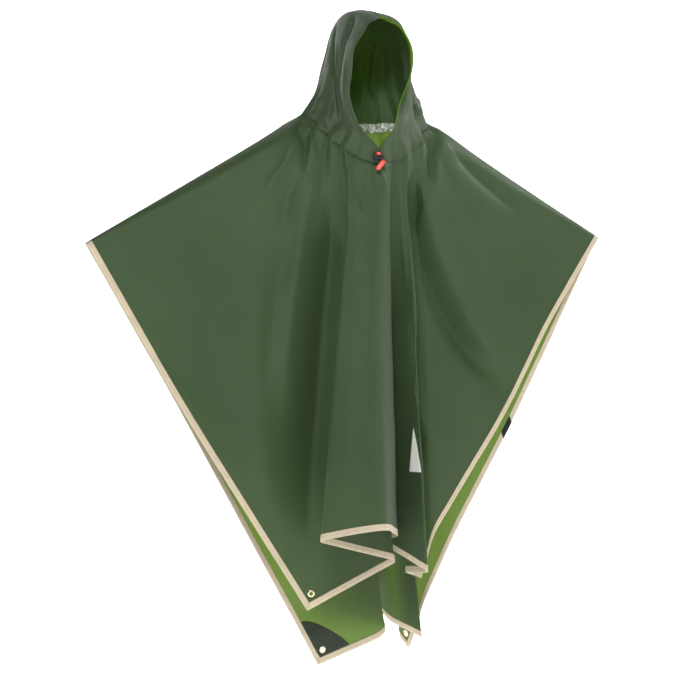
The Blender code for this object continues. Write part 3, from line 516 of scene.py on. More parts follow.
def hooded(side, place, level):
    """The finished hood's point and its outward normal."""
    step = 0.004
    here = hood_form(side, place, level)
    round_it = hood_form(side, min(place + step, 1), level) - hood_form(side, max(place - step, 0), level)
    up = hood_form(side, place, min(level + step, 1)) - hood_form(side, place, max(level - step, 0))
    normal = round_it.cross(up) * side
    if normal.length < 1e-12:
        return here, Vector((0.0, 0.0, 1.0))
    normal.normalize()
    from_crown = (1 - level) * HOOD_RISE
    from_nape = (1 - place) * HOOD_AROUND
    fade = smooth_step(from_crown / 0.02) * smooth_step(from_nape / 0.02)
    fade *= smooth_step(level * HOOD_RISE / 0.02)
    lift = crease_lift(HOOD_CREASES[side], place * HOOD_AROUND, level * HOOD_RISE)
    lift += 0.0022 * unevenness(place * HOOD_AROUND, level * HOOD_RISE, side * 5.0, 0.06)
    welt = math.exp(-(((from_crown - 0.0040) / 0.0022) ** 2))
    welt += math.exp(-(((from_nape - 0.0040) / 0.0022) ** 2))
    return here + normal * (lift * fade + 0.0008 * welt), normal


# ---------------------------------------------------------------- materials


def colour(hex_value):
    """An sRGB hex colour as the linear colour that a shader takes."""
    channels = [int(hex_value[k : k + 2], 16) / 255 for k in (1, 3, 5)]
    linear = [c / 12.92 if c <= 0.04045 else ((c + 0.055) / 1.055) ** 2.4 for c in channels]
    return (*linear, 1.0)


def socket_of(sockets, name):
    """A socket by its identifier, or by its name with underscores for spaces."""
    for socket in sockets:
        if socket.identifier == name:
            return socket
    return sockets[name.replace("_", " ")]


def add(tree, kind, settings=None, **inputs):
    """Adds a node. settings are its own choices; inputs are values, or sockets to link."""
    made = tree.nodes.new("ShaderNode" + kind)
    for name, value in (settings or {}).items():
        setattr(made, name, value)
    for name, value in inputs.items():
        socket = socket_of(made.inputs, name)
        if isinstance(value, bpy.types.NodeSocket):
            tree.links.new(value, socket)
        else:
            socket.default_value = value
    return made


def new_material(name):
    """An empty material with its output node."""
    made = bpy.data.materials.new(name)
    made.use_nodes = True
    made.node_tree.nodes.clear()
    return made, made.node_tree


COLOURS = {"data_type": "RGBA"}  # settings of a mix of two colours
TIMES = {"operation": "MULTIPLY"}


def finish_with(tree, surface):
    add(tree, "OutputMaterial", None, Surface=surface)


def cloth_material(name, lit, shaded, glow, share, rim_share=0.0):
    """Polyester taffeta, woven in threads of 0.25 mm and coated: an even satin green with a
    broad soft shine, faint crinkles, and light that glows through it from behind."""
    made, tree = new_material(name)
    cut = add(tree, "UVMap", {"uv_map": "cut"}).outputs["UV"]
    place = add(tree, "TexCoord").outputs["Object"]
    # threads are drawn every 1.4 mm, the finest that a near view shows
    warp = add(
        tree, "TexWave", {"bands_direction": "X"}, Vector=cut, Scale=225.0, Distortion=0.4, Detail=0.0,
    )
    weft = add(
        tree, "TexWave", {"bands_direction": "Y"}, Vector=cut, Scale=225.0, Distortion=0.4, Detail=0.0,
    )
    weave = add(tree, "Math", TIMES, Value=warp.outputs["Fac"], Value_001=weft.outputs["Fac"])
    crinkle = add(tree, "TexNoise", None, Vector=place, Scale=42.0, Detail=4.0, Roughness=0.55)
    ripple = add(tree, "TexNoise", None, Vector=place, Scale=13.0, Detail=2.0, Roughness=0.5)
    patchy = add(tree, "TexNoise", None, Vector=place, Scale=3.2, Detail=3.0, Roughness=0.6)
    threads = add(tree, "Bump", None, Strength=0.10, Distance=0.0003, Height=weave.outputs["Value"])
    crinkled = add(
        tree, "Bump", None, Strength=0.22, Distance=0.0014, Height=crinkle.outputs["Fac"],
        Normal=threads.outputs["Normal"],
    )
    rippled = add(
        tree, "Bump", None, Strength=0.30, Distance=0.0040, Height=ripple.outputs["Fac"],
        Normal=crinkled.outputs["Normal"],
    )
    tone = add(tree, "MapRange", None, Value=patchy.outputs["Fac"], From_Min=0.3, From_Max=0.7)
    # the colours mixed here are the cloth's own dye; in the hood's, the patch's and the casing's copies
    # they also hold painted shade and painted light
    dye_and_painted_light = add(
        tree, "Mix", COLOURS, Factor_Float=tone.outputs["Result"], A_Color=colour(shaded),
        B_Color=colour(lit),
    )
    shine = add(
        tree, "MapRange", None, Value=crinkle.outputs["Fac"], From_Min=0.3, From_Max=0.7, To_Min=0.54,
        To_Max=0.68,
    )
    face = add(
        tree,
        "BsdfPrincipled",
        None,
        Base_Color=socket_of(dye_and_painted_light.outputs, "Result_Color"),
        Roughness=shine.outputs["Result"],
        Specular_IOR_Level=0.34,
        IOR=1.5,
        Sheen_Weight=0.08,
        Sheen_Roughness=0.5,
        Normal=rippled.outputs["Normal"],
    )
    through = add(tree, "BsdfTranslucent", None, Color=colour(glow), Normal=rippled.outputs["Normal"])
    both = add(
        tree, "MixShader", None, Fac=share, Shader=face.outputs["BSDF"],
        Shader_001=through.outputs["BSDF"],
    )
    if rim_share:
        # a single layer stretched along the rim lets more light through
        apart = add(tree, "SeparateXYZ", None, Vector=cut)
        near = add(
            tree, "MapRange", {"interpolation_type": "SMOOTHSTEP"}, Value=apart.outputs["X"],
            From_Min=0.125, From_Max=0.060,
        )
        above = add(
            tree, "MapRange", {"interpolation_type": "SMOOTHSTEP"}, Value=apart.outputs["Y"],
            From_Min=0.09, From_Max=0.16,
        )
        glowing = add(tree, "Math", TIMES, Value=near.outputs["Result"], Value_001=above.outputs["Result"])
        thin = add(tree, "MapRange", None, Value=glowing.outputs["Value"], To_Min=share, To_Max=rim_share)
        tree.links.new(thin.outputs["Result"], both.inputs["Fac"])
    finish_with(tree, both.outputs["Shader"])
    return made


def tape_material(name, ground, thread, pitch, rows, rough):
    """Narrow woven tape: matt cross ribs, with rows of lockstitch in a lighter thread."""
    made, tree = new_material(name)
    cut = add(tree, "UVMap", {"uv_map": "cut"}).outputs["UV"]
    place = add(tree, "TexCoord").outputs["Object"]
    parts = add(tree, "SeparateXYZ", None, Vector=cut)
    # ribs of 0.5 mm are drawn every 1.5 mm
    ribs = add(
        tree, "TexWave", {"bands_direction": "X"}, Vector=cut, Scale=0.314 / 0.0015, Distortion=0.6,
        Detail=1.0,
    )
    along = add(tree, "Math", {"operation": "DIVIDE"}, Value=parts.outputs["X"], Value_001=pitch)
    turn = add(tree, "Math", {"operation": "FRACT"}, Value=along.outputs["Value"])
    dash = add(tree, "Math", {"operation": "LESS_THAN"}, Value=turn.outputs["Value"], Value_001=0.68)
    total = None
    for row in rows:
        off = add(
            tree, "Math", {"operation": "COMPARE"}, Value=parts.outputs["Y"], Value_001=row,
            Value_002=0.00055,
        )
        stitch = add(tree, "Math", TIMES, Value=off.outputs["Value"], Value_001=dash.outputs["Value"])
        if total is None:
            total = stitch
        else:
            total = add(
                tree, "Math", {"operation": "MAXIMUM"}, Value=total.outputs["Value"],
                Value_001=stitch.outputs["Value"],
            )
    soil = add(tree, "TexNoise", None, Vector=place, Scale=60.0, Detail=3.0, Roughness=0.6)
    dull = add(
        tree, "MapRange", None, Value=soil.outputs["Fac"], From_Min=0.3, From_Max=0.7, To_Min=0.86,
        To_Max=1.04,
    )
    ground_mix = add(
        tree, "VectorMath", {"operation": "SCALE"}, Vector=colour(ground)[:3],
        Scale=dull.outputs["Result"],
    )
    dyed = add(
        tree, "Mix", COLOURS, Factor_Float=total.outputs["Value"], A_Color=ground_mix.outputs["Vector"],
        B_Color=colour(thread),
    )
    ribbed = add(tree, "Bump", None, Strength=0.35, Distance=0.0003, Height=ribs.outputs["Fac"])
    sewn = add(
        tree, "Bump", None, Strength=0.6, Distance=0.0004, Height=total.outputs["Value"],
        Normal=ribbed.outputs["Normal"],
    )
    face = add(
        tree,
        "BsdfPrincipled",
        None,
        Base_Color=socket_of(dyed.outputs, "Result_Color"),
        Roughness=rough,
        Specular_IOR_Level=0.3,
        Sheen_Weight=0.15,
        Normal=sewn.outputs["Normal"],
    )
    finish_with(tree, face.outputs["BSDF"])
    return made


def hard_material(name, tint, worn, rough, grain, depth, metallic=0.0, coat=0.0):
    """A moulded or pressed hard finish: slight grain, and a tone that varies a little."""
    made, tree = new_material(name)
    place = add(tree, "TexCoord").outputs["Object"]
    fine = add(tree, "TexNoise", None, Vector=place, Scale=grain, Detail=3.0, Roughness=0.6)
    broad = add(tree, "TexNoise", None, Vector=place, Scale=160.0, Detail=2.0, Roughness=0.5)
    tone = add(
        tree, "Mix", COLOURS, Factor_Float=broad.outputs["Fac"], A_Color=colour(tint),
        B_Color=colour(worn),
    )
    gloss = add(
        tree, "MapRange", None, Value=fine.outputs["Fac"], From_Min=0.3, From_Max=0.7,
        To_Min=rough - 0.06, To_Max=rough + 0.06,
    )
    grained = add(tree, "Bump", None, Strength=0.25, Distance=depth, Height=fine.outputs["Fac"])
    face = add(
        tree,
        "BsdfPrincipled",
        None,
        Base_Color=socket_of(tone.outputs, "Result_Color"),
        Roughness=gloss.outputs["Result"],
        Metallic=metallic,
        Coat_Weight=coat,
        Coat_Roughness=0.15,
        Normal=grained.outputs["Normal"],
    )
    finish_with(tree, face.outputs["BSDF"])
    return made


def film_material(name):
    """Heat-sealed seam film: a clear glossy skin that has wrinkled with the gathers under it
    and catches white glints from its gloss; its near-white patches are painted glints."""
    made, tree = new_material(name)
    place = add(tree, "TexCoord").outputs["Object"]
    wrinkle = add(
        tree, "TexNoise", None, Vector=place, Scale=130.0, Detail=3.0, Roughness=0.6, Distortion=0.8,
    )
    # where the wrinkle noise is high the film is painted near white: painted glints
    painted_glints = add(tree, "MapRange", None, Value=wrinkle.outputs["Fac"], From_Min=0.42, From_Max=0.66)
    tone = add(
        tree, "Mix", COLOURS, Factor_Float=painted_glints.outputs["Result"], A_Color=colour("#84947a"),
        B_Color=colour("#f4f7f1"),
    )
    raised = add(tree, "Bump", None, Strength=0.8, Distance=0.0012, Height=wrinkle.outputs["Fac"])
    face = add(
        tree,
        "BsdfPrincipled",
        None,
        Base_Color=socket_of(tone.outputs, "Result_Color"),
        Roughness=0.16,
        Specular_IOR_Level=0.6,
        Normal=raised.outputs["Normal"],
    )
    finish_with(tree, face.outputs["BSDF"])
    return made


def cord_material(name):
    """Braided polyester cord: matt black, with the braid's slanting ribs."""
    made, tree = new_material(name)
    place = add(tree, "TexCoord").outputs["Object"]
    braid = add(
        tree, "TexWave", {"bands_direction": "DIAGONAL"}, Vector=place, Scale=210.0, Distortion=1.2,
        Detail=1.0,
    )
    tone = add(
        tree, "Mix", COLOURS, Factor_Float=braid.outputs["Fac"], A_Color=colour("#121312"),
        B_Color=colour("#2b2d2b"),
    )
    raised = add(tree, "Bump", None, Strength=0.5, Distance=0.0004, Height=braid.outputs["Fac"])
    face = add(
        tree, "BsdfPrincipled", None, Base_Color=socket_of(tone.outputs, "Result_Color"), Roughness=0.7,
        Sheen_Weight=0.2, Normal=raised.outputs["Normal"],
    )
    finish_with(tree, face.outputs["BSDF"])
    return made


def plain_material(name, tint, rough, glow=0.0):
    """One even colour, which may shine by itself."""
    made, tree = new_material(name)
    face = add(
        tree,
        "BsdfPrincipled",
        None,
        Base_Color=colour(tint),
        Roughness=rough,
        Emission_Color=(1.0, 1.0, 1.0, 1.0),
        Emission_Strength=glow,
    )
    finish_with(tree, face.outputs["BSDF"])
    return made


# the body's cloth: dark olive, a little light coming through
CLOTH = cloth_material("coated_taffeta", "#43563a", "#394c31", "#bcd183", 0.30)
# the same behind, where more light comes through and turns its inside a fresh green
BACK_CLOTH = cloth_material("coated_taffeta_back", "#44573a", "#3b4e32", "#bcd183", 0.42)
# the hood's: its colours painted darker than the body's, a painted shade on its outside and on its inside,
# which lets little light through
HOOD_CLOTH_PAINTED_SHADE = cloth_material("coated_taffeta_hood", "#3f5136", "#31412a", "#d2dcba", 0.13)
# the same, stretched thin along its rim, where it glows
HOOD_RIGHT_CLOTH_PAINTED_SHADE = cloth_material(
    "coated_taffeta_hood_thin_rim", "#3f5136", "#31412a", "#b4dc54", 0.13, 0.80,
)
# the corner patch: two layers, so that hardly any light comes through; its colours are painted much darker
# than the cloth's, a painted shade for the light that the second layer keeps out
DOUBLED_CLOTH_PAINTED_SHADE = cloth_material("coated_taffeta_doubled", "#202c1b", "#1a2416", "#bcd183", 0.03)
# the casing in the light from the side: its colours painted a brighter green than the cloth's, a painted
# light
CASING_CLOTH_PAINTED_LIGHT = cloth_material("coated_taffeta_casing", "#4a6a34", "#41602d", "#d4e488", 0.76)
# woven polyester binding: beige and matt, its stitches paler
BINDING = tape_material(
    "woven_binding", "#bfb197", "#d9ceb8", 0.0032, (0.0035, 0.0100, 0.0190, 0.0255), 0.8,
)
# woven nylon webbing: black and matt
WEBBING = tape_material("black_webbing", "#17181b", "#2c2e33", 0.0035, (0.0030, 0.0120), 0.75)
# pressed brass with a pale nickel wash: a warm, satin metal
EYELET_METAL = hard_material(
    "pressed_brass_washed", "#e3dcc2", "#cfc29a", 0.30, 900.0, 0.0001, metallic=1.0,
)
# acetal moulding, fine spark texture: near black with a soft shine
LOCK_BLACK = hard_material("moulded_acetal_black", "#151619", "#202226", 0.38, 2200.0, 0.0001)
# ABS moulding: bright red with a clear gloss
LOCK_RED = hard_material("moulded_abs_red", "#f0553f", "#e34634", 0.34, 1500.0, 0.00005, coat=0.3)
SEAM_FILM = film_material("seam_film")
CORD_BRAID = cord_material("braided_cord")
# plastisol print: opaque white, a little chalky
PRINT_WHITE = hard_material("plastisol_print_white", "#f4f3ee", "#e9e7df", 0.55, 1300.0, 0.00005)
# studio paper: an even white
FLOOR_PAPER = plain_material("studio_paper", "#f7f7f5", 0.9, 0.98)


# ---------------------------------------------------------------- making meshes


def grid_of(columns, rows, place, cut):
    """A sheet of columns by rows quads. place gives a corner's point, and cut its place on
    the flat cloth, which its weave follows."""
    bm = bmesh.new()
    bmesh.ops.create_grid(bm, x_segments=columns, y_segments=rows, size=0.5)
    layer = bm.loops.layers.uv.new("cut")
    spots = {}
    for vertex in bm.verts:
        spots[vertex] = round((vertex.co.x + 0.5) * columns), round((vertex.co.y + 0.5) * rows)
        vertex.co = place(*spots[vertex])
    for face in bm.faces:
        for loop in face.loops:
            loop[layer].uv = cut(*spots[loop.vert])
    bm.normal_update()
    return bm


def turn_outwards(bm, from_point):
    total = sum((f.calc_center_median() - from_point).dot(f.normal) for f in bm.faces)
    if total < 0:
        bmesh.ops.reverse_faces(bm, faces=bm.faces[:])


def piece_of(name, bm, material, wall=0.0):
    """Makes the bmesh a piece of the poncho, with a wall where it is cloth or tape."""
    mesh = bpy.data.meshes.new(name)
    bm.to_mesh(mesh)
    bm.free()
    mesh.materials.append(material)
    mesh.shade_smooth()
    made = bpy.data.objects.new(name, mesh)
    bpy.context.scene.collection.objects.link(made)
    if wall:
        solid = made.modifiers.new("wall", "SOLIDIFY")
        solid.thickness = wall
        solid.offset = 0.0
    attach(made, "root")
    return made


def apply_modifiers(made):
    bpy.context.view_layer.update()
    shown = made.evaluated_get(bpy.context.evaluated_depsgraph_get())
    mesh = bpy.data.meshes.new_from_object(shown)
    made.modifiers.clear()
    made.data = mesh


def punch(made, holes):
    """Cuts round holes through a wall."""
    cutters = []
    for centre, axis, radius in holes:
        bm = bmesh.new()
        bmesh.ops.create_cone(bm, cap_ends=True, segments=40, radius1=radius, radius2=radius, depth=0.012)
        turn = axis.to_track_quat("Z", "Y").to_matrix().to_4x4()
        bm.transform(Matrix.Translation(centre) @ turn)
        mesh = bpy.data.meshes.new("punch")
        bm.to_mesh(mesh)
        bm.free()
        cutter = bpy.data.objects.new("punch", mesh)
        bpy.context.scene.collection.objects.link(cutter)
        cutters.append(cutter)
        hole = made.modifiers.new("hole", "BOOLEAN")
        hole.operation = "DIFFERENCE"
        hole.solver = "EXACT"
        hole.object = cutter
    apply_modifiers(made)
    for cutter in cutters:
        bpy.data.objects.remove(cutter)


def turned(name, outline, centre, axis, material, steps=40):
    """A round piece: a closed outline of (radius, height) turned about an axis."""
    bm = bmesh.new()
    ring = [bm.verts.new((r, 0.0, h)) for r, h in outline]
    edges = [bm.edges.new((a, b)) for a, b in zip(ring, ring[1:] + ring[:1])]
    bmesh.ops.spin(
        bm,
        geom=ring + edges,
        cent=(0.0, 0.0, 0.0),
        axis=(0.0, 0.0, 1.0),
        angle=2 * math.pi,
        steps=steps,
        use_merge=True,
    )
    bmesh.ops.remove_doubles(bm, verts=bm.verts[:], dist=1e-6)
    bmesh.ops.recalc_face_normals(bm, faces=bm.faces[:])
    turn = axis.to_track_quat("Z", "Y").to_matrix().to_4x4()
    bm.transform(Matrix.Translation(centre) @ turn)
    return piece_of(name, bm, material)


def rounded_outline(outline, radius, segments=3):
    """The closed outline with each corner rounded."""
    rounded = []
    for k, point in enumerate(outline):
        corner = Vector(point)
        before = Vector(outline[k - 1]) - corner
        after = Vector(outline[(k + 1) % len(outline)]) - corner
        cut = min(radius, before.length * 0.45, after.length * 0.45)
        first, last = corner + before.normalized() * cut, corner + after.normalized() * cut
        for n in range(segments + 1):
            share = n / segments
            rounded.append(tuple(first.lerp(corner, share).lerp(corner.lerp(last, share), share)))
    return rounded


# ---------------------------------------------------------------- panels and trims

EDGE_SPACING = 0.0085
PANEL_ROWS = 48
HEM_ROWS = 3


def edge_distances(panel, low, high, spacing):
    """Distances along the cut's edge, each lower corner among them."""
    stops = [low] + [c for c in (panel.length, panel.length + WIDTH) if low < c < high] + [high]
    found = [low]
    for a, b in zip(stops, stops[1:]):
        pieces = max(1, math.ceil((b - a) / spacing))
        found += [a + (b - a) * n / pieces for n in range(1, pieces + 1)]
    return found


def cut_edge_point(panel, along):
    half = WIDTH / 2
    if along < panel.length:
        return -half, along
    if along < panel.length + WIDTH:
        return along - panel.length - half, panel.length
    return half, 2 * panel.length + WIDTH - along


def binding_line_point(panel, edge_s, edge_t):
    """The binding's inner line, on the way from an edge point to the neck."""
    half = WIDTH / 2
    at_side = abs(edge_s) > half - 1e-6
    at_hem = edge_t > panel.length - 1e-6
    if at_side and at_hem:
        return math.copysign(half - BINDING_WIDTH, edge_s), panel.length - BINDING_WIDTH
    kept = 1 - BINDING_WIDTH / (half if at_side else panel.length)
    return edge_s * kept, edge_t * kept


def add_panel(panel, eyelets):
    columns = edge_distances(panel, 0.0, panel.rows[-1].along, EDGE_SPACING)
    cut = []
    for n in range(PANEL_ROWS + HEM_ROWS + 1):
        for along in columns:
            edge_s, edge_t = cut_edge_point(panel, along)
            inner_s, inner_t = binding_line_point(panel, edge_s, edge_t)
            start = neck_cut_radius(panel, edge_s, edge_t) / math.hypot(edge_s, edge_t)
            if n <= PANEL_ROWS:
                share = (n / PANEL_ROWS) ** 1.15
                s = edge_s * start + (inner_s - edge_s * start) * share
                t = edge_t * start + (inner_t - edge_t * start) * share
            else:
                share = (n - PANEL_ROWS) / HEM_ROWS
                s, t = inner_s + (edge_s - inner_s) * share, inner_t + (edge_t - inner_t) * share
            cut.append((s, t))
    width = len(columns)
    bm = grid_of(
        width - 1,
        PANEL_ROWS + HEM_ROWS,
        lambda i, j: draped(panel, *cut[j * width + i])[0],
        lambda i, j: cut[j * width + i],
    )
    turn_outwards(bm, Vector((0.0, 0.0, -0.30)))
    made = piece_of(f"cloth_{panel.name}", bm, CLOTH if panel is FRONT else BACK_CLOTH, CLOTH_WALL)
    punch(made, [(centre, axis, EYELET_PUNCH) for centre, axis in eyelets])
    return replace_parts(made, panel.name)


# across: 0 at the binding's inner line, 1 at the cloth's edge; past: beyond that edge;
# height: in the binding's own height, to each side of the cloth.
TAPE_SECTION = (
    (0.00, 0.0000, 0.75),
    (0.06, 0.0000, 1.00),
    (0.35, 0.0000, 1.10),
    (0.70, 0.0000, 1.10),
    (0.95, 0.0000, 1.00),
    (1.00, 0.0007, 0.70),
    (1.00, 0.0010, 0.00),
    (1.00, 0.0007, -0.70),
    (0.95, 0.0000, -1.00),
    (0.70, 0.0000, -1.10),
    (0.35, 0.0000, -1.10),
    (0.06, 0.0000, -1.00),
    (0.00, 0.0000, -0.75),
)


def folded_tape(name, panel, low, high, height, material, spacing=0.006, extra=0.0):
    """A tape folded over the cloth's edge, sewn through both its faces."""
    columns = edge_distances(panel, low, high, spacing)
    lines = []
    for along in columns:
        edge_s, edge_t = cut_edge_point(panel, along)
        inner_s, inner_t = binding_line_point(panel, edge_s, edge_t)
        lines.append((draped(panel, inner_s, inner_t), draped(panel, edge_s, edge_t)))

    def place(i, j):
        across, past, rise = TAPE_SECTION[j]
        (inner, inner_up), (edge, edge_up) = lines[i]
        out = (edge - inner).normalized()
        up = inner_up.lerp(edge_up, across).normalized()
        wave = 0.00025 * unevenness(columns[i], j * 0.3, 2.0, 0.012)
        return inner.lerp(edge, across) + out * past * (1 + extra) + up * (height * rise + wave)

    def cut(i, j):
        across = TAPE_SECTION[j][0] * BINDING_WIDTH
        return columns[i], across if j <= 6 else 2 * BINDING_WIDTH + 0.003 - across

    bm = grid_of(len(columns) - 1, len(TAPE_SECTION) - 1, place, cut)
    bmesh.ops.recalc_face_normals(bm, faces=bm.faces[:])
    return piece_of(name, bm, material, TRIM_WALL)


def add_bindings(panel):
    end = panel.rows[-1].along
    corners = panel.length, panel.length + WIDTH
    stops = (BINDING_START, *corners, end - BINDING_START)
    made = []
    for side, low, high in zip(("left", "hem", "right"), stops, stops[1:]):
        tape = folded_tape(
            f"tape_{panel.name}_{side}", panel, low, high, BINDING_HEIGHT, BINDING,
        )
        made.append(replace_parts(tape, f"binding_{panel.name}_{side}"))
    return made


def add_tab():
    middle = BACK.rows[-1].along - TAB_DISTANCE
    low, high = middle - TAB_LENGTH / 2, middle + TAB_LENGTH / 2
    made = folded_tape("webbing_tab", BACK, low, high, TAB_HEIGHT, WEBBING, 0.003, 1.2)
    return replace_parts(made, "side_tab")


def eyelet_spot(panel, side):
    return draped(panel, side * (WIDTH / 2 - EYELET_INSET), panel.length - EYELET_INSET)


def add_eyelet(panel, side, name, under):
    """Two pressed washers with rolled rims, closed on the cloth by a barrel."""
    centre, axis = eyelet_spot(panel, side)
    top, bottom = 0.0005, -0.0005 - under
    outline = (
        (0.0040, bottom - 0.0008),
        (0.0052, bottom - 0.0012),
        (0.0078, bottom - 0.0009),
        (0.0085, bottom - 0.0002),
        (0.0083, bottom),
        (0.0046, bottom),
        (0.0046, top),
        (0.0083, top),
        (0.0085, top + 0.0003),
        (0.0077, top + 0.0010),
        (0.0056, top + 0.0015),
        (0.0043, top + 0.0011),
        (0.0040, top + 0.0004),
    )
    piece = turned(
        f"eyelet_ring_{panel.name}_{name}", rounded_outline(outline, 0.0004), centre, axis,
        EYELET_METAL, 48,
    )
    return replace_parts(piece, f"eyelet_{panel.name}_{name}")


PATCH_UP = 0.120
PATCH_ACROSS = 0.085
PATCH_BULGE = 1.4  # roundness of the patch's free edge
PATCH_DEPTH = 0.0009  # from the middle of the back's cloth to the middle of the patch


def add_corner_patch():
    """The rounded second layer inside the back's left corner."""
    steps = 26
    inset = 0.0135
    up, across = PATCH_UP - inset, PATCH_ACROSS - inset

    def on_cut(i, j):
        u, v = i / steps, j / steps
        if u or v:
            reach = max(u, v) / (u**PATCH_BULGE + v**PATCH_BULGE) ** (1 / PATCH_BULGE)
            u, v = u * reach, v * reach
        return -(WIDTH / 2 - inset - across * u), BACK_LENGTH - inset - up * v

    def place(i, j):
        point, normal = draped(BACK, *on_cut(i, j))
        return point - normal * PATCH_DEPTH

    bm = grid_of(steps, steps, place, on_cut)
    turn_outwards(bm, Vector((0.2, -0.3, -1.1)))
    made = piece_of("cloth_corner_patch", bm, DOUBLED_CLOTH_PAINTED_SHADE, CLOTH_WALL)
    centre, axis = eyelet_spot(BACK, -1)
    punch(made, [(centre, axis, EYELET_PUNCH)])
    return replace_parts(made, "corner_patch_left")


# the print: three corners on the front's cut
PRINT_CORNERS = ((0.300, 0.715), (0.311, 0.812), (0.374, 0.800))


def add_print():
    """A plain white triangle printed low on the front."""
    steps = 20
    top, left, right = PRINT_CORNERS

    def on_cut(i, j):
        u, v = i / steps, j / steps
        s = top[0] + (left[0] - top[0]) * v + (right[0] - left[0]) * v * u
        return s, top[1] + (left[1] - top[1]) * v + (right[1] - left[1]) * v * u

    def place(i, j):
        point, normal = draped(FRONT, *on_cut(i, j))
        return point + normal * 0.00055

    bm = grid_of(steps, steps, place, on_cut)
    bmesh.ops.remove_doubles(bm, verts=bm.verts[:], dist=1e-6)
    bmesh.ops.recalc_face_normals(bm, faces=bm.faces[:])
    return piece_of("print_triangle", bm, PRINT_WHITE, 0.00012)


# ---------------------------------------------------------------- hood, seam film and lock

HOOD_COLUMNS = 118
HOOD_ROWS_FINE = 92


def add_hood_half(side, name):
    def spot(i, j):
        return i / HOOD_COLUMNS, (j / HOOD_ROWS_FINE) ** 0.95

    bm = grid_of(
        HOOD_COLUMNS,
        HOOD_ROWS_FINE,
        lambda i, j: hooded(side, *spot(i, j))[0],
        lambda i, j: (spot(i, j)[0] * HOOD_AROUND, spot(i, j)[1] * HOOD_RISE),
    )
    turn_outwards(bm, PEAK + Vector((0.0, 0.0, 0.02)))
    made = piece_of(
        f"cloth_hood_{name}", bm, HOOD_CLOTH_PAINTED_SHADE if side < 0 else HOOD_RIGHT_CLOTH_PAINTED_SHADE, CLOTH_WALL,
    )
    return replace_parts(made, f"hood_{name}")


# share: of the casing's width in from the rim; past: beyond the rim; height: outwards
CASING_SECTION = (
    (1.00, 0.0000, -0.0009),
    (0.85, 0.0000, -0.0012),
    (0.60, 0.0000, -0.0027),
    (0.35, 0.0000, -0.0030),
    (0.15, 0.0000, -0.0020),
    (0.04, 0.0000, -0.0010),
    (0.00, 0.0008, 0.0000),
    (0.04, 0.0000, 0.0009),
    (0.12, 0.0000, 0.0009),
)


def add_casing(side, name):
    """The rim's hem, turned in and sewn down as a tunnel for the drawcord."""
    rows = 110

    def width_at(level):
        widened = smooth_step((level - CASING_START) / CASING_RISE)
        return CASING_LOW + (CASING_HIGH - CASING_LOW) * widened

    def place(i, j):
        level = 0.02 + 0.965 * i / rows
        share, past, height = CASING_SECTION[j]
        point, normal = hooded(side, share * width_at(level), level)
        rim, _ = hooded(side, 0.0, level)
        beside, _ = hooded(side, 0.03, level)
        pucker = 0.0004 * unevenness(level * HOOD_RISE, j * 0.5, side * 7.0, 0.010)
        return point + (rim - beside).normalized() * past + normal * (height + pucker)

    bm = grid_of(rows, len(CASING_SECTION) - 1, place, lambda i, j: (HOOD_RISE * i / rows, 0.003 * j))
    bmesh.ops.recalc_face_normals(bm, faces=bm.faces[:])
    made = piece_of(
        f"cloth_casing_{name}", bm, CASING_CLOTH_PAINTED_LIGHT if side > 0 else HOOD_CLOTH_PAINTED_SHADE, TRIM_WALL,
    )
    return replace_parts(made, f"hood_casing_{name}")


def neck_spot(around):
    """The panel under an angle of the neck seam, and the cut's direction from its centre."""
    around = (around + 180) % 360 - 180
    panel = FRONT if abs(around) <= 90 else BACK
    degrees = around if panel is FRONT else math.copysign(180 - abs(around), around)
    low, high = 0.0, panel.rows[-1].along
    for _ in range(40):
        middle = (low + high) / 2
        if on_edge(panel.rows, middle)[3] < degrees:
            low = middle
        else:
            high = middle
    s, t = cut_edge_point(panel, low)
    reach = math.hypot(s, t)
    return panel, s / reach, t / reach


def add_seam_film():
    """The film over the neck seam's inside, a closed loop on hood and body."""
    steps, rows = 240, 6
    spots = [neck_spot(-180 + 360 * k / steps) for k in range(steps)]

    def place(i, j):
        around = -180 + 360 * (i % steps) / steps
        nape = smooth_step((abs(around) - 90) / 70)
        rise = NECK_TAPE_HALF * (2 * j / rows - 1) * (1 + 0.9 * nape * (j > rows / 2))
        if rise >= 0:
            side = -1 if around < 0 else 1
            point, normal = hooded(side, abs(around) / 180, rise / HOOD_RISE)
        else:
            panel, s, t = spots[i % steps]
            radius = neck_cut_radius(panel, s, t) - rise
            point, normal = draped(panel, s * radius, max(t * radius, 0.0))
        pucker = 0.0005 * unevenness(around * 0.0022, rise, 11.0, 0.006)
        return point - normal * (0.0011 + pucker)

    bm = grid_of(steps, rows, place, lambda i, j: (0.0022 * i, 0.003 * j))
    bmesh.ops.remove_doubles(bm, verts=bm.verts[:], dist=1e-5)
    bmesh.ops.recalc_face_normals(bm, faces=bm.faces[:])
    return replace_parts(piece_of("seam_film_neck", bm, SEAM_FILM, 0.0003), "neck_tape")


LOCK_SIZE = (0.026, 0.012, 0.011)
RIB_SIZE = (0.0022, 0.0126, 0.0116)
LOCK_CENTRE = Vector((-0.005, -0.1460, -0.0980))
BUTTON_SHIFT = Vector((-0.002, 0.0, 0.0))
CORD_RADIUS = 0.0012
CORD_WAY = 0.0017
CORD_SPREAD = 0.0021
CORD_START = Vector((-0.004, -0.1377, -0.0790))
CORD_START_SPREAD = 0.0060
CORD_END_TOP = Vector((0.002, -0.1580, -0.1060))
CORD_END_FOOT = Vector((-0.014, -0.1560, -0.1250))
CORD_END_BORE = 0.005
GAP = 0.0003


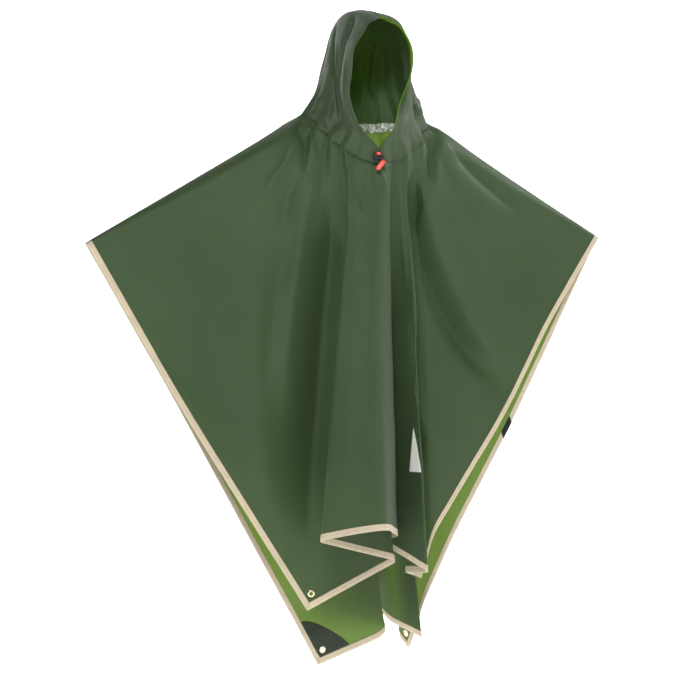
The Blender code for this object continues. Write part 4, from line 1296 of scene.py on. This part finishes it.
def add_lock():
    """The cord lock: a moulded body with two ribs, and its sprung button."""
    bm = bmesh.new()
    for offset, size, edge in (
        (0.0, LOCK_SIZE, 0.0034), (-0.0062, RIB_SIZE, 0.0009), (0.0062, RIB_SIZE, 0.0009),
    ):
        block = bmesh.ops.create_cube(bm, size=1.0)["verts"]
        bmesh.ops.scale(bm, vec=size, verts=block)
        edges = list({e for v in block for e in v.link_edges})
        cut = bmesh.ops.bevel(
            bm, geom=edges, offset=edge, segments=4, profile=0.5, affect="EDGES", material=-1,
        )
        moved = list({v for f in cut["faces"] for v in f.verts} | {v for v in block if v.is_valid})
        bmesh.ops.translate(bm, vec=LOCK_CENTRE + Vector((offset, 0.0, 0.0)), verts=moved)
    body = piece_of("lock_body", bm, LOCK_BLACK)
    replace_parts(body, "cord_lock_body")
    spots = [LOCK_CENTRE + Vector((side * CORD_SPREAD, 0.0, 0.0)) for side in (-1, 1)]
    punch(body, [(spot, Vector((0.0, 1.0, 0.0)), CORD_WAY) for spot in spots])
    top = LOCK_SIZE[2] / 2 + GAP
    outline = (
        (0.0006, top),
        (0.0050, top),
        (0.0056, top + 0.0006),
        (0.0056, top + 0.0012),
        (0.0049, top + 0.0017),
        (0.0049, top + 0.0040),
        (0.0044, top + 0.0062),
        (0.0030, top + 0.0070),
        (0.0006, top + 0.0070),
    )
    spot = LOCK_CENTRE + BUTTON_SHIFT
    button = turned(
        "lock_button", rounded_outline(outline, 0.0006), spot, Vector((0.0, 0.0, 1.0)), LOCK_RED,
    )
    return body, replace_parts(button, "cord_lock_button")


def rounded_route(points, times):
    """The route with its corners cut again and again, until it bends smoothly."""
    for _ in range(times):
        cut = [points[0]]
        for a, b in zip(points, points[1:]):
            cut += [a.lerp(b, 0.25), a.lerp(b, 0.75)]
        points = cut + [points[-1]]
    return points


def add_cord_end():
    """The tapered end that both cords are moulded into, and the cords' free ends."""
    axis = (CORD_END_TOP - CORD_END_FOOT).normalized()
    length = (CORD_END_TOP - CORD_END_FOOT).length
    floor = length - CORD_END_BORE
    bore = CORD_SPREAD + CORD_RADIUS + GAP * 2
    outline = (
        (0.0005, 0.0),
        (0.0030, 0.0),
        (0.0046, 0.0016),
        (0.0053, 0.0050),
        (0.0056, 0.0100),
        (0.0051, 0.0108),
        (0.0051, 0.0118),
        (0.0056, 0.0126),
        (0.0056, length - 0.0036),
        (0.0050, length),
        (bore, length),
        (bore, floor),
        (0.0005, floor),
    )
    end = turned("cord_end_tip", rounded_outline(outline, 0.0005), CORD_END_FOOT, axis, LOCK_RED)
    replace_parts(end, "cord_end")
    half = Vector((0.0, LOCK_SIZE[1] / 2, 0.0))
    approach = CORD_END_TOP - (LOCK_CENTRE - half)
    for side, name in ((-1, "left"), (1, "right")):
        hole = LOCK_CENTRE + Vector((side * CORD_SPREAD, 0.0, 0.0))
        across = axis.cross(approach).normalized() * side * CORD_SPREAD * 0.8
        points = [
            CORD_START + Vector((side * CORD_START_SPREAD, 0.0, 0.0)),
            hole + half * 1.30 + Vector((side * 0.001, 0.0, 0.009)),
            hole + half * 1.30 + Vector((0.0, 0.0, 0.001)),
            hole + half * 1.10,
            hole - half * 1.15,
            hole - half * 1.6 + Vector((0.0, 0.0, -0.0005)),
            CORD_END_TOP + axis * 0.002 + across,
            CORD_END_TOP - axis * (CORD_END_BORE - GAP * 3) + across,
        ]
        route = rounded_route(points, 2)
        curve = bpy.data.curves.new(f"cord_{name}", "CURVE")
        curve.dimensions = "3D"
        curve.bevel_depth = CORD_RADIUS
        curve.bevel_resolution = 4
        curve.use_fill_caps = True
        line = curve.splines.new("POLY")
        line.points.add(len(route) - 1)
        for knot, point in zip(line.points, route):
            knot.co = (*point, 1.0)
        curve.materials.append(CORD_BRAID)
        cord = bpy.data.objects.new(f"cord_{name}", curve)
        bpy.context.scene.collection.objects.link(cord)
        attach(cord, "root")
        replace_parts(cord, f"drawcord_{name}")
        length_of_route = sum((b - a).length for a, b in zip(route, route[1:]))
        tuple(route[0])
    return end


# ---------------------------------------------------------------- the poncho

eyelets = {panel.name: [eyelet_spot(panel, side) for side in (-1, 1)] for panel in (FRONT, BACK)}
front_cloth = add_panel(FRONT, eyelets["front"])
back_cloth = add_panel(BACK, eyelets["back"])
front_trims = add_bindings(FRONT)
back_trims = add_bindings(BACK)
tab = add_tab()
rings = {
    "front": [add_eyelet(FRONT, -1, "left", 0.0), add_eyelet(FRONT, 1, "right", 0.0)],
    "back": [add_eyelet(BACK, -1, "left", PATCH_DEPTH), add_eyelet(BACK, 1, "right", 0.0)],
}
patch = add_corner_patch()
mark = add_print()
hood_cloths = {name: add_hood_half(side, name) for side, name in ((-1, "left"), (1, "right"))}
casings = {name: add_casing(side, name) for side, name in ((-1, "left"), (1, "right"))}
film = add_seam_film()
add_lock()
add_cord_end()

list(rings["front"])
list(rings["back"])


# ---------------------------------------------------------------- floor, light, camera


def add_floor():
    """A pale paper sweep: floor, bend and wall in one."""
    floor_z, wall_y, bend, reach = -1.62, 7.0, 1.8, 12.0

    def place(i, j):
        x = -reach + 2 * reach * i / 12
        k = j / 30
        if k < 0.4:
            return Vector((x, -reach + (wall_y - bend + reach) * k / 0.4, floor_z))
        if k < 0.7:
            turn = (k - 0.4) / 0.3 * math.pi / 2
            return Vector(
                (x, wall_y - bend + bend * math.sin(turn), floor_z + bend - bend * math.cos(turn))
            )
        return Vector((x, wall_y, floor_z + bend + 9.0 * (k - 0.7) / 0.3))

    bm = grid_of(12, 30, place, lambda i, j: (i, j))
    mesh = bpy.data.meshes.new("floor")
    bm.to_mesh(mesh)
    bm.free()
    mesh.materials.append(FLOOR_PAPER)
    mesh.shade_smooth()
    made = bpy.data.objects.new("floor", mesh)
    bpy.context.scene.collection.objects.link(made)


def add_light(name, place, aim, size, power):
    light = bpy.data.lights.new(name, "AREA")
    light.energy = power
    light.size = size
    made = bpy.data.objects.new(name, light)
    bpy.context.scene.collection.objects.link(made)
    made.location = place
    made.rotation_euler = (Vector(aim) - Vector(place)).to_track_quat("-Z", "Y").to_euler()
    made.visible_camera = False


add_floor()
add_light("key", (-1.3, -3.0, 1.5), (0.0, 0.0, -0.4), 0.9, 86.0)
add_light("fill", (1.9, -3.0, 0.6), (0.0, 0.0, -0.3), 2.0, 11.0)
add_light("back", (0.2, 2.4, -0.8), (0.0, 0.1, -0.9), 1.6, 88.0)
add_light("rim", (2.0, -0.2, 1.2), (0.05, -0.05, 0.1), 0.8, 40.0)
world = bpy.data.worlds.new("studio")
world.use_nodes = True
surroundings = world.node_tree.nodes["Background"]
surroundings.inputs["Color"].default_value = (1.0, 1.0, 1.0, 1.0)
# the room is dim, and what is seen past the paper is white
seen = add(world.node_tree, "LightPath")
strength = add(
    world.node_tree, "MapRange", None, Value=seen.outputs["Is Camera Ray"], To_Min=0.10, To_Max=1.0,
)
world.node_tree.links.new(strength.outputs["Result"], surroundings.inputs["Strength"])
bpy.context.scene.world = world
bpy.context.scene.view_settings.view_transform = "Standard"

CAMERA_TURN = math.radians(20)
CAMERA_DISTANCE = 3.2
ahead = Vector((math.sin(CAMERA_TURN), math.cos(CAMERA_TURN), 0.0))
aside = Vector((math.cos(CAMERA_TURN), -math.sin(CAMERA_TURN), 0.0))
lens = bpy.data.cameras.new("camera")
lens.lens = 72.7
lens.sensor_width = 36.0
camera = bpy.data.objects.new("camera", lens)
bpy.context.scene.collection.objects.link(camera)
camera.location = -ahead * CAMERA_DISTANCE - aside * 0.042 + Vector((0.0, 0.0, -0.504))
camera.rotation_euler = (math.pi / 2, 0.0, -CAMERA_TURN)
bpy.context.scene.camera = camera
